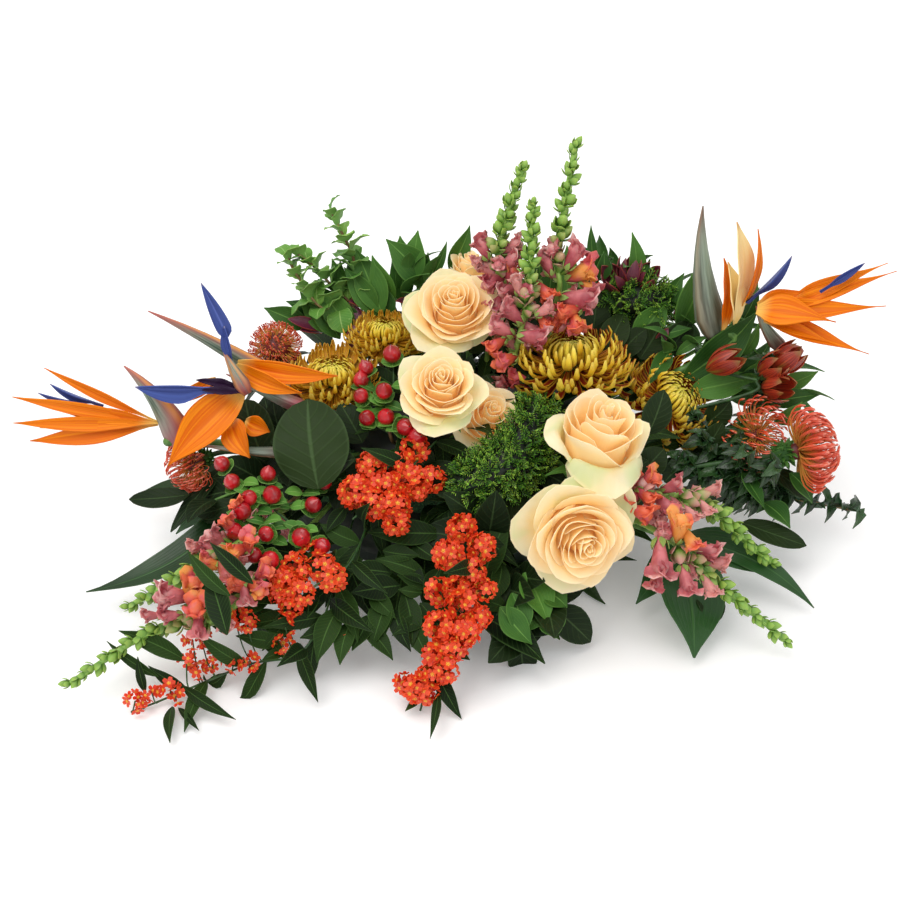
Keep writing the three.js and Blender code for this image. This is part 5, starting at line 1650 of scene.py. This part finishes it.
def scarletFloret():
    # five rounded petals round a yellow eye, facing +Z
    cloth = Cloth()
    for a in turns(5):
        radial, across = around(a, 1), Vector((-math.sin(a), math.cos(a), 0))
        grid = []
        for reach, half in ((0.05, 0.06), (0.34, 0.2), (0.54, 0.13)):
            rise = Vector((0, 0, 0.12 * reach * reach * 4))
            grid.append([radial * reach + across * (s * half) + rise for s in (-1, 0, 1)])
        cloth.sheet(grid, 0.035)
    cloth.hull(lathe([(-0.12, 0.03), (0.03, 0.1), (0.1, 0.03)], 5), (0.5, 0.0))
    return template("scarletFloret", cloth, "scarlet")


starlet = scarletFloret()
longLeaf = leafShape("longLeaf", 0.27, "darkLeaf", longLeafForm)


def makeSpray(name, spray, seed):
    course = stemThrough(spray["foot"], [spot(place) - up * 12 for place in spray["places"]])
    meshes, stems = [], [stemMesh(course, 0.9, "shadeStem")]
    for k, (*place, radius) in enumerate(spray["clusters"]):
        radius *= spray.get("girth", 1.0)
        centre = seen(*place)
        near = min(course[8:], key=lambda p: (p - centre).length)
        facing = Vector((centre.x / 300, centre.y / 200 - 0.35, 1)).normalized()
        seat = centre - facing * radius * 0.5
        bump = dome(frameAt(seat, facing), radius * 0.92, radius * 0.7, "moss", 10, 5)
        spacing, size = spray.get("spacing", 5.0), spray.get("floret", 9.6)
        meshes.append(crowded(bump, starlet, "scarlet", seed * 7 + k, spacing=spacing, size=size))
        twig = smooth([near, near.lerp(centre, 0.5) - up * 6, seat], 4)
        stems.append(stemMesh(twig, 0.6, "shadeStem", 6))
    settle(name + "_florets", meshes, "scarlet_floret", name)
    leaves = alongStem(course, longLeaf, spray["leaves"], "darkLeaf", seed, **sprayLeafRule)
    settle(name + "_leaves", [leaves, *stems], "dark_leaf")


makeAll(makeSpray, sprays, 51)
print("scarlet sprays made")

# Green brushes

# the ridge of each brush: column, row and height, and its radius there
brushes = {
    "trachelium_mid": {
        "foot": (16, -23, 88), "facing": (20, 55), "at": (500, 462, 118), "reach": 46,
        "ridge": [
            (536, 408, 134, 13), (532, 432, 128, 18), (516, 458, 119, 22), (488, 476, 112, 21),
            (462, 488, 106, 13),
        ],
    },
    "trachelium_back": {
        "foot": (71, 32, 86), "facing": (90, 70), "at": (636, 304, 150), "reach": 38,
        "ridge": [(612, 306, 148, 14), (630, 300, 152, 20), (650, 302, 150, 19), (664, 310, 146, 12)],
    },
}
tuftForm = {"needles": 8, "thick": 0.05, "taper": 0.35}


def needle(cloth, root, tip):
    thick = tuftForm["thick"]
    cloth.hull([
        [at + around(a, thick * size) for a in turns(3)]
        for at, size in ((root, 1.0), (tip, tuftForm["taper"]))
    ])


def tuftShape():
    # a twiglet with short side needles
    cloth = Cloth()
    needle(cloth, Vector(), up)
    for k in range(tuftForm["needles"]):
        a, z = (k % 2) * math.pi + 0.12 * (k - 4), 0.12 + 0.1 * k
        needle(cloth, Vector((0, 0, z)), around(a, 0.26 - 0.018 * k, z + 0.22))
    return template("tuft", cloth, "brush")


tuft = tuftShape()


def makeBrush(name, brush, seed):
    facing = towards(*brush["facing"])
    widths = [width for *place, width in brush["ridge"]]
    course = smooth([seen(*place) for *place, width in brush["ridge"]], 4)
    rings = []
    for i, middle in enumerate(course):
        place = i / 4
        low = min(int(place), len(widths) - 2)
        radius = widths[low] + (widths[low + 1] - widths[low]) * (place - low)
        way = (course[min(i + 1, len(course) - 1)] - course[max(i - 1, 0)]).normalized()
        side = way.cross(facing).normalized()
        rise = side.cross(way)
        rings.append([
            middle + side * (math.cos(a) * radius * 0.8) + rise * (math.sin(a) * radius * 0.7)
            for a in turns(14)
        ])
    body = Cloth()
    body.hull(rings)
    # the body under the tufts is painted shade, a near-black green seen in the gaps between tufts
    heart = body.mesh("heart", skins["moss"])
    tufts = crowded(heart.copy(), tuft, "brush", seed, spacing=2.4, size=13.5, jitter=0.75)
    settle(name + "_tufts", [tufts, heart], "green_needle", name)
    seat = spot(brush["at"]) - facing * brush["reach"] * 0.3
    settle(name + "_stem", [stemMesh(stemTo(brush["foot"], seat, facing), 2.2, "stem")], "rose_stem")


makeAll(makeBrush, brushes, 61)
print("brushes made")

# Dark red lilies

# each flower: column, row and height of its middle, and the turn and rise of the way it faces
lilies = {
    "alstroemeria_right": {
        "foot": (105, 12, 80), "places": [(742, 396, 120), (757, 380, 132)],
        "flowers": [
            (724, 362, 142, 84, 34), (772, 368, 136, 60, 50), (776, 388, 124, 40, 30),
            (786, 360, 138, 100, 40),
        ],
        "open": 0.8, "length": 32, "deep": 0.0,
    },
    "alstroemeria_back": {
        "foot": (73, 51, 73), "places": [Vector((146, 148, 110)), (655, 268, 164)],
        "flowers": [(614, 278, 174, -60, 60), (646, 276, 170, 60, 60), (630, 270, 176, 160, 60)],
        "open": 0.85, "length": 26, "deep": 0.9,
    },
}
lilyForm = {
    "rows": 9, "columns": 4, "widest": 0.6, "blunt": 0.9, "base": 0.9, "bow": -0.18, "fold": 0.25,
    "thickness": 0.6,
}
lilyPetals = ((12, 13), (9, 9))  # reach and width of the outer and of the inner three


def makeLily(name, lily, seed):
    luck = random.Random(seed)
    course, length = stemThrough(lily["foot"], lily["places"]), lily["length"]
    petals, stems = Cloth(), [stemMesh(course, 1.6, "shadeStem")]
    for column, row, height, turn, rise in lily["flowers"]:
        facing = towards(turn, rise)
        seat = seen(column, row, height) - facing * 16
        matrix = frameAt(seat, facing, luck.uniform(0, 60))
        for k in range(6):
            a, (reach, width) = k * math.pi / 3, lilyPetals[k % 2]
            tip = matrix @ around(a, reach * lily["open"], length)
            face = matrix.to_3x3() @ around(a, -1, 0.4)
            blade(
                petals, matrix @ around(a, 1.5), tip, width * length / 30, face, lilyForm, out=lily["deep"],
                tone=luck.random(),
            )
        twig = smooth([course[-1], course[-1].lerp(seat, 0.5), seat + facing * 2], 4)
        stems.append(stemMesh(twig, 1.3, "shadeStem", 6))
    settle(name + "_petals", [petals.mesh(name, skins["lily"])], "lily_petal", name)
    settle(name + "_stems", stems, "rose_stem")


makeAll(makeLily, lilies, 71)
print("lilies made")

# Foliage

ruscusLeaf = leafShape("ruscusLeaf", 0.34, "greenLeaf", longLeafForm | {"fold": 0.3, "widest": 0.4})
privetLeaf = leafShape("privetLeaf", 0.95, "lightLeaf", longLeafForm | {
    "fold": 0.18, "widest": 0.55, "blunt": 0.4, "base": 0.55, "droop": 0.16, "bow": 0.12, "wave": 0.12,
    "thickness": 0.024,
})
curledLeaf = leafShape("curledLeaf", 0.82, "curledLeaf", longLeafForm | {
    "fold": 0.7, "widest": 0.5, "blunt": 0.42, "droop": 0.6, "bow": 0.3, "wave": 0.45, "thickness": 0.026,
})
salalLeaf = leafShape("salalLeaf", 0.62, "broadLeaf", longLeafForm | {
    "fold": 0.22, "widest": 0.42, "blunt": 0.7, "rows": 8,
})

# a branch is one place where it ends, or a list of the places it goes through
foliage = {
    "privet_back_left": {
        "foot": (-39, 40, 84), "fork": (352, 304, 150), "slot": "light_leaf",
        "branches": [
            [(354, 262, 182), (346, 241, 200), (338, 226, 211), (331, 211, 221)],
            [(322, 308, 152), (303, 284, 168), (294, 270, 178), (287, 256, 189)],
            [(332, 286, 164), (317, 269, 176), (298, 254, 188)],
        ],
        "leaf": privetLeaf, "skin": "lightLeaf", "size": (24, 14), "count": 17, "lean": (72, 48),
        "twig": "twig",
    },
    "ruscus_back_left": {
        "foot": (-18, 44, 82), "fork": (402, 300, 150), "slot": "green_leaf",
        "branches": [(412, 270, 176), (438, 280, 172), (336, 312, 138)], "leaf": ruscusLeaf,
        "skin": "greenLeaf", "size": (42, 32), "count": 4, "lean": (48, 30), "twig": "stem",
    },
    "ruscus_back_right": {
        "foot": (68, 44, 80), "fork": (598, 288, 124), "slot": "green_leaf",
        "branches": [(594, 264, 172), (628, 274, 166), (690, 290, 150)], "leaf": ruscusLeaf,
        "skin": "greenLeaf", "size": (42, 34), "count": 6, "lean": (50, 30), "twig": "stem",
    },
    "ruscus_right": {
        "foot": (100, 42, 73), "fork": (704, 346, 100), "slot": "green_leaf",
        "branches": [(742, 318, 136), (790, 398, 96), (664, 352, 136)], "leaf": ruscusLeaf,
        "skin": "greenLeaf", "size": (60, 46), "count": 8, "lean": (52, 34), "twig": "stem",
    },
    "privet_right": {
        "foot": (112, -33, 55), "fork": (716, 486, 46), "slot": "dark_leaf",
        "branches": [
            (852, 510, 38), (800, 488, 52), (716, 452, 84), (764, 362, 138), (736, 440, 100),
            (700, 440, 104), (760, 500, 52), (676, 462, 92), (742, 470, 76), (690, 418, 104),
            (716, 476, 76), (772, 468, 98), (742, 452, 102),
        ],
        "leaf": curledLeaf, "skin": "curledLeaf", "size": (21, 13), "count": 22, "lean": (70, 50),
        "twig": "twig",
    },
    "salal_left": {
        "foot": (-64, -18, 88), "fork": (318, 462, 92), "slot": "broad_leaf",
        "branches": [
            (300, 470, 92), (215, 500, 74), (350, 486, 90), Vector((-176, 8, 48)), Vector((-162, 42, 62)),
            Vector((-168, -26, 40)), Vector((-158, 24, 84)),
        ],
        "leaf": salalLeaf, "skin": "broadLeaf", "size": (46, 38), "count": 5, "lean": (58, 40),
        "twig": "stem",
    },
    "salal_front": {
        "foot": (36, -44, 67), "fork": (500, 560, 58), "slot": "broad_leaf",
        "branches": [(520, 640, 20), (552, 606, 40), (470, 500, 100)], "leaf": salalLeaf,
        "skin": "broadLeaf", "size": (54, 44), "count": 7, "lean": (60, 40), "twig": "stem",
    },
    "salal_back": {
        "foot": (5, 49, 74), "fork": Vector((4, 92, 84)), "slot": "broad_leaf",
        "branches": [
            Vector((-150, 108, 66)), Vector((160, 112, 66)), Vector((-70, 160, 58)),
            Vector((84, 160, 58)), Vector((-64, 112, 112)), Vector((58, 116, 112)), Vector((0, 132, 96)),
            Vector((-120, 118, 84)), Vector((122, 122, 84)),
        ],
        "leaf": salalLeaf, "skin": "broadLeaf", "size": (58, 44), "count": 7, "lean": (60, 36),
        "twig": "stem",
    },
}
# each blade: the place of its tip, its width and how far it sweeps aside
blades = {
    "aspidistra_left": {
        "foot": (-112, -30, 54), "fork": (245, 486, 58),
        "leaves": [
            ((86, 592, 18), 30, -0.2), ((132, 498, 36), 20, 0), ((176, 534, 22), 20, 0),
            ((212, 522, 46), 20, 0),
        ],
    },
    "aspidistra_right": {
        "foot": (100, -42, 54), "fork": (676, 540, 44),
        "leaves": [
            ((782, 578, 26), 32, -0.06), ((814, 608, 12), 20, -0.08), ((694, 658, 10), 62, 0),
            ((636, 604, 26), 26, 0),
        ],
    },
}
broadForm = {
    "rows": 14, "columns": 8, "widest": 0.45, "blunt": 1.1, "base": 0.6, "bow": 0.08, "fold": 0.16,
    "thickness": 0.8, "wave": 0.05, "neck": 0.1,
}
sprigRule = {"start": 0.08, "end": 1.0, "jitter": 0.3, "lift": 0.15}


def makeFoliage(name, plant, seed):
    stub = stemThrough(plant["foot"], [plant["fork"]])
    fork, rise = stub[-1], (stub[-1] - stub[-2]).normalized()
    leaves, stems = [], [stemMesh(stub, 1.8, plant["twig"])]
    for k, branch in enumerate(plant["branches"]):
        places = [spot(p) for p in (branch if isinstance(branch, list) else [branch])]
        end = places[-1]
        if len(places) > 1:
            course = smooth([fork, *places], 4)
        else:
            course = curveOf([fork, fork.lerp(end, 0.5) + rise * (end - fork).length * 0.06, end], 12)
        stems.append(stemMesh(course, 1.2, plant["twig"], 6))
        rule = sprigRule | {"lean": plant["lean"], "size": plant["size"]}
        leaves.append(alongStem(course, plant["leaf"], plant["count"], plant["skin"], seed * 5 + k, **rule))
    settle(name + "_leaves", leaves, plant["slot"], name)
    settle(name + "_twigs", stems, "rose_stem")


def makeBlades(name, plant, seed):
    luck = random.Random(seed)
    stub = stemThrough(plant["foot"], [plant["fork"]])
    cloth = Cloth()
    for place, width, sweep in plant["leaves"]:
        tip = seen(*place)
        face = Vector((tip.x / 300, tip.y / 150 - 0.15, 1)).normalized()
        form = broadForm | {"twist": luck.uniform(-0.3, 0.3), "sweep": sweep}
        blade(cloth, stub[-1], tip, width, face, form, tone=luck.random())
    settle(name + "_blades", [cloth.mesh(name, skins["bladeLeaf"])], "broad_leaf", name)
    settle(name + "_stalk", [stemMesh(stub, 2.4, "stem")], "rose_stem")


makeAll(makeFoliage, foliage, 81)
makeAll(makeBlades, blades, 91)
print("foliage made")

# Leaves that the view shows one by one: column and row of base and tip, with their heights where the
# leaf doesn't lie on the front slope, and the width in millimetres

def slopeHeight(row):
    # the height of the arrangement's front slope at a row of the view
    return max(7, min(100, 98 - (row - 490) * 0.42))


placedLeaves = {
    "front_leaves": {
        "skin": "darkLeaf", "slot": "dark_leaf",
        "form": {
            "rows": 12, "columns": 6, "widest": 0.42, "blunt": 1.1, "base": 0.75, "fold": 0.22,
            "thickness": 0.7,
        },
        "leaves": [
            (489, 492, 428, 503, 14), (448, 508, 455, 538, 12), (442, 531, 367, 533, 21),
            (426, 573, 375, 560, 15), (400, 583, 351, 597, 22), (429, 585, 397, 577, 12),
            (422, 590, 398, 590, 10), (380, 598, 385, 638, 20), (337, 583, 358, 646, 16),
            (339, 604, 317, 667, 20), (319, 594, 290, 633, 18), (363, 624, 393, 661, 15),
            (298, 646, 318, 704, 12), (268, 616, 293, 640, 13), (481, 582, 509, 519, 22),
            (508, 606, 467, 596, 15), (474, 610, 545, 665, 27), (420, 696, 405, 712, 6),
            (438, 688, 22, 430, 742, 8, 7), (345, 505, 326, 536, 12), (332, 554, 363, 560, 17),
            (383, 548, 420, 560, 15), (393, 606, 411, 654, 14), (428, 618, 392, 639, 13),
            (253, 582, 210, 545, 12), (228, 592, 188, 553, 12), (224, 631, 207, 572, 20),
            (186, 658, 119, 635, 15), (158, 674, 107, 645, 8), (145, 690, 138, 660, 8),
            (172, 704, 170, 744, 11), (182, 683, 236, 722, 10), (178, 705, 199, 731, 6),
            (258, 607, 291, 639, 17), (300, 600, 262, 652, 16), (352, 618, 340, 668, 16),
            (412, 620, 430, 664, 15), (360, 540, 320, 524, 16), (412, 540, 440, 566, 14),
            (455, 560, 440, 596, 15), (502, 560, 490, 606, 16), (520, 585, 560, 640, 20),
            (320, 520, 292, 556, 16), (300, 560, 262, 590, 14), (284, 650, 262, 664, 9),
            (392, 570, 345, 572, 16), (370, 590, 396, 622, 15), (253, 581, 108, 210, 545, 120, 12),
            (230, 593, 100, 188, 552, 108, 12), (227, 632, 84, 208, 571, 98, 20),
            (290, 560, 240, 580, 18), (300, 590, 248, 606, 18), (262, 612, 214, 622, 16),
            (280, 640, 236, 640, 14), (300, 612, 240, 628, 16), (340, 620, 300, 642, 16),
            (268, 600, 226, 612, 16), (322, 600, 280, 616, 16), (300, 552, 250, 548, 18),
            (262, 540, 216, 560, 16), (440, 640, 470, 662, 13), (420, 600, 444, 636, 14),
            (250, 590, 204, 600, 18), (404, 590, 412, 650, 18), (388, 596, 372, 648, 18),
            (420, 604, 436, 640, 14), (398, 558, 426, 586, 16), (440, 566, 424, 598, 14),
            (450, 600, 470, 640, 16), (370, 612, 352, 652, 16), (384, 550, 56, 400, 604, 32, 30),
            (404, 566, 50, 394, 624, 26, 28), (436, 572, 48, 440, 626, 26, 26),
            (424, 546, 60, 422, 592, 40, 26), (372, 580, 46, 384, 626, 24, 24),
            (448, 590, 44, 462, 636, 22, 22),
        ],
    },
    "back_leaves": {
        "skin": "greenLeaf", "slot": "green_leaf",
        "form": {
            "rows": 12, "columns": 6, "widest": 0.42, "blunt": 1.15, "base": 0.75, "fold": 0.28,
            "thickness": 0.7,
        },
        "leaves": [
            (382, 311, 150, 356, 250, 188, 27), (393, 301, 152, 372, 258, 186, 20),
            (431, 283, 165, 386, 241, 196, 28), (354, 332, 134, 317, 287, 162, 24),
            (308, 324, 136, 264, 309, 148, 19), (340, 336, 130, 307, 296, 156, 19),
            (376, 313, 148, 344, 270, 176, 20), (410, 280, 168, 418, 235, 200, 22),
            (430, 276, 170, 447, 244, 194, 8), (449, 266, 176, 470, 230, 204, 16),
            (512, 262, 180, 521, 236, 200, 14), (595, 268, 176, 591, 227, 206, 9),
            (602, 278, 170, 604, 252, 188, 13), (636, 284, 160, 632, 233, 200, 17),
            (634, 344, 134, 668, 303, 156, 27), (657, 334, 138, 692, 330, 142, 12),
            (677, 326, 138, 703, 260, 186, 34), (681, 377, 118, 757, 314, 152, 30),
            (688, 389, 112, 760, 377, 116, 23), (740, 322, 140, 759, 292, 164, 13),
            (740, 354, 126, 759, 323, 148, 12), (676, 352, 130, 709, 336, 140, 9),
            (776, 384, 108, 818, 374, 114, 15), (763, 400, 102, 820, 397, 104, 17),
            (790, 470, 84, 812, 504, 60, 18), (764, 500, 60, 790, 530, 44, 22),
            (742, 470, 84, 764, 508, 66, 16), (774, 420, 96, 802, 405, 104, 14),
            (700, 352, 128, 724, 312, 156, 14), (352, 304, 146, 340, 262, 178, 12),
            (400, 292, 156, 404, 250, 190, 13), (448, 300, 160, 470, 262, 186, 14),
            (584, 300, 160, 572, 262, 184, 12), (620, 300, 150, 650, 262, 176, 16),
            (660, 316, 140, 684, 276, 168, 18), (720, 340, 128, 700, 300, 158, 18),
            (332, 332, 132, 300, 292, 156, 18), (352, 302, 146, 332, 262, 176, 18),
            (324, 318, 138, 286, 302, 148, 15), (368, 290, 156, 352, 252, 186, 20),
            (404, 272, 170, 400, 240, 196, 18), (360, 322, 140, 330, 306, 150, 18),
            (548, 302, 168, 553, 262, 196, 20), (535, 302, 168, 537, 256, 198, 18),
            (566, 294, 176, 567, 246, 206, 18), (404, 300, 150, 392, 262, 178, 20),
            (424, 296, 156, 428, 256, 186, 16), (388, 318, 142, 374, 284, 164, 20),
            (738, 398, 96, 776, 362, 116, 24), (752, 410, 90, 800, 380, 104, 22),
            (730, 388, 104, 770, 344, 126, 22), (706, 372, 112, 744, 356, 124, 16),
            (730, 396, 102, 776, 396, 104, 15), (547, 596, 56, 525, 636, 32, 20),
            (543, 588, 60, 567, 612, 44, 23), (545, 612, 44, 556, 640, 26, 24),
            (524, 570, 70, 548, 628, 40, 30), (500, 604, 62, 532, 646, 34, 22),
            (512, 590, 66, 520, 640, 38, 22),
        ],
    },
    "broad_leaves": {
        "skin": "broadLeaf", "slot": "broad_leaf",
        "form": {
            "rows": 12, "columns": 6, "widest": 0.44, "blunt": 0.62, "base": 0.5, "fold": 0.12,
            "thickness": 0.8, "wave": 0.04,
        },
        "leaves": [
            (262, 452, 96, 246, 404, 118, 40), (189, 492, 74, 129, 500, 62, 18),
            (221, 466, 86, 171, 536, 40, 17), (247, 490, 80, 207, 525, 54, 21),
            (648, 431, 128, 664, 391, 152, 24), (500, 336, 150, 484, 296, 168, 24),
            (520, 326, 152, 508, 284, 178, 24), (545, 334, 148, 540, 286, 174, 26),
            (568, 334, 144, 566, 290, 170, 26), (592, 336, 138, 598, 292, 160, 26),
            (606, 322, 138, 616, 286, 156, 24), (532, 360, 142, 524, 318, 158, 26),
            (556, 356, 142, 556, 314, 160, 26), (584, 316, 150, 584, 276, 172, 22),
            (634, 404, 92, 650, 364, 106, 30), (620, 388, 100, 636, 350, 116, 26),
            (640, 356, 130, 662, 324, 144, 26), (604, 348, 138, 624, 316, 150, 24),
            (668, 352, 126, 690, 326, 140, 24), (742, 520, 46, 806, 549, 26, 20),
            (774, 468, 74, 810, 500, 50, 20), (734, 474, 78, 774, 484, 66, 14),
            (703, 586, 34, 717, 625, 14, 26), (362, 440, 118, 340, 408, 134, 26),
            (430, 470, 104, 404, 444, 118, 26), (540, 470, 104, 572, 492, 92, 26),
            (560, 500, 88, 530, 530, 76, 24), (620, 480, 100, 648, 462, 108, 24),
            (700, 450, 92, 722, 424, 108, 22), (642, 470, 94, 664, 452, 102, 24),
            (684, 462, 90, 664, 486, 80, 24), (620, 352, 132, 646, 330, 146, 22),
            (612, 330, 136, 634, 312, 146, 20), (530, 386, 132, 552, 404, 124, 22),
            (486, 372, 140, 500, 398, 130, 22), (470, 350, 146, 488, 330, 156, 20),
            (706, 420, 98, 730, 404, 108, 22), (720, 448, 88, 748, 462, 80, 20),
            (240, 500, 78, 196, 516, 62, 16), (416, 410, 134, 430, 440, 120, 22),
            (540, 360, 150, 520, 388, 138, 26), (510, 372, 146, 500, 345, 158, 22),
            (640, 440, 116, 612, 462, 108, 24),
        ],
    },
    "round_leaf": {
        "skin": "broadLeaf", "slot": "broad_leaf",
        "form": {
            "rows": 18, "columns": 14, "widest": 0.48, "blunt": 0.5, "base": 0.5, "fold": -0.1,
            "crease": 2.0, "thickness": 0.8, "wave": 0.06,
        },
        "leaves": [(318, 486, 112, 308, 404, 147, 60)],
    },
    "maroon_petals": {
        "skin": "lily", "slot": "lily_petal", "out": 1.0,
        "form": {
            "rows": 8, "columns": 4, "widest": 0.55, "blunt": 0.8, "base": 0.7, "fold": 0.4,
            "thickness": 0.7,
        },
        "leaves": [
            (324, 328, 132, 288, 323, 142, 11), (366, 304, 150, 349, 302, 156, 9),
            (362, 328, 138, 356, 308, 148, 9), (352, 346, 132, 354, 328, 142, 10),
            (412, 304, 150, 396, 304, 156, 7), (322, 330, 130, 300, 334, 134, 9),
            (672, 318, 140, 682, 300, 150, 8), (655, 346, 132, 668, 330, 142, 9),
            (520, 380, 138, 536, 392, 134, 10),
        ],
    },
}


def makePlacedLeaves(name, group, seed):
    luck = random.Random(seed)
    cloth = Cloth()
    for *places, width in group["leaves"]:
        if len(places) == 4:
            places = [*places[:2], slopeHeight(places[1]), *places[2:], slopeHeight(places[3])]
        base, tip = seen(*places[:3]) - up * 3, seen(*places[3:]) + up * luck.uniform(0, 5)
        lean = tip.x / 400 + luck.uniform(-0.25, 0.25)
        face = Vector((lean, -0.5 + luck.uniform(-0.2, 0.2), 0.85)).normalized()
        form = group["form"] | {
            "twist": luck.uniform(-0.35, 0.35), "sweep": luck.uniform(-0.05, 0.05),
            "bow": luck.uniform(0.03, 0.1),
        }
        blade(cloth, base, tip, width, face, form, out=group.get("out", 0.0), tone=luck.random())
    settle(name, [cloth.mesh(name, skins[group["skin"]])], group["slot"])


makeAll(makePlacedLeaves, placedLeaves, 101)

# Two beds of leaves that cover the foam and the tray

beds = {
    "bed_leaves": {
        "middle": (-10, -4, 26), "reach": (150, 78, 58), "rise": (-18, 80), "core": 0.8,
        "leaf": longLeaf, "spacing": 24, "size": 54,
    },
    "crown_leaves": {
        "middle": (22, 14, 76), "reach": (138, 66, 46), "rise": (4, 84), "core": 0.9,
        "leaf": ruscusLeaf, "spacing": 17, "size": 46,
    },
}


def makeBed(name, bed, seed):
    middle, (low, high), (long, deep, tall) = Vector(bed["middle"]), bed["rise"], bed["reach"]
    rings = []
    for r in range(9):
        a = math.radians(low + (high - low) * r / 8)
        flat, rise = math.cos(a), math.sin(a) * tall
        rings.append([
            middle + Vector((math.cos(t) * flat * long, math.sin(t) * flat * deep, rise)) for t in turns(28)
        ])
    surface, core = Cloth(), Cloth()
    surface.hull(rings)
    core.hull([[middle + (p - middle) * bed["core"] for p in ring] for ring in rings])
    rule = {"spacing": bed["spacing"], "size": bed["size"], "lying": 0.85, "jitter": 0.45}
    leaves = crowded(surface.mesh("bed", skins["darkLeaf"]), bed["leaf"], "darkLeaf", seed, **rule)
    # the core under the leaves is painted shade, a near-black green seen in the gaps between leaves
    settle(name, [leaves, core.mesh("core", skins["moss"])], "dark_leaf")


makeAll(makeBed, beds, 7)
print("placed leaves made")

# Tray and foam keep their CAD shapes

for name, skin in (("tray", makeTrayPlastic()), ("floral_foam", makeWetFoam())):
    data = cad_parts[name].data
    data.materials.clear()
    data.materials.append(skin)

for made in templates:
    bpy.data.objects.remove(made)
bpy.context.view_layer.update()
counts = {o.name: sum(len(p.vertices) - 2 for p in o.data.polygons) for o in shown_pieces() if o.type == "MESH"}
print("triangles", sum(counts.values()), "largest", max(counts.values()))
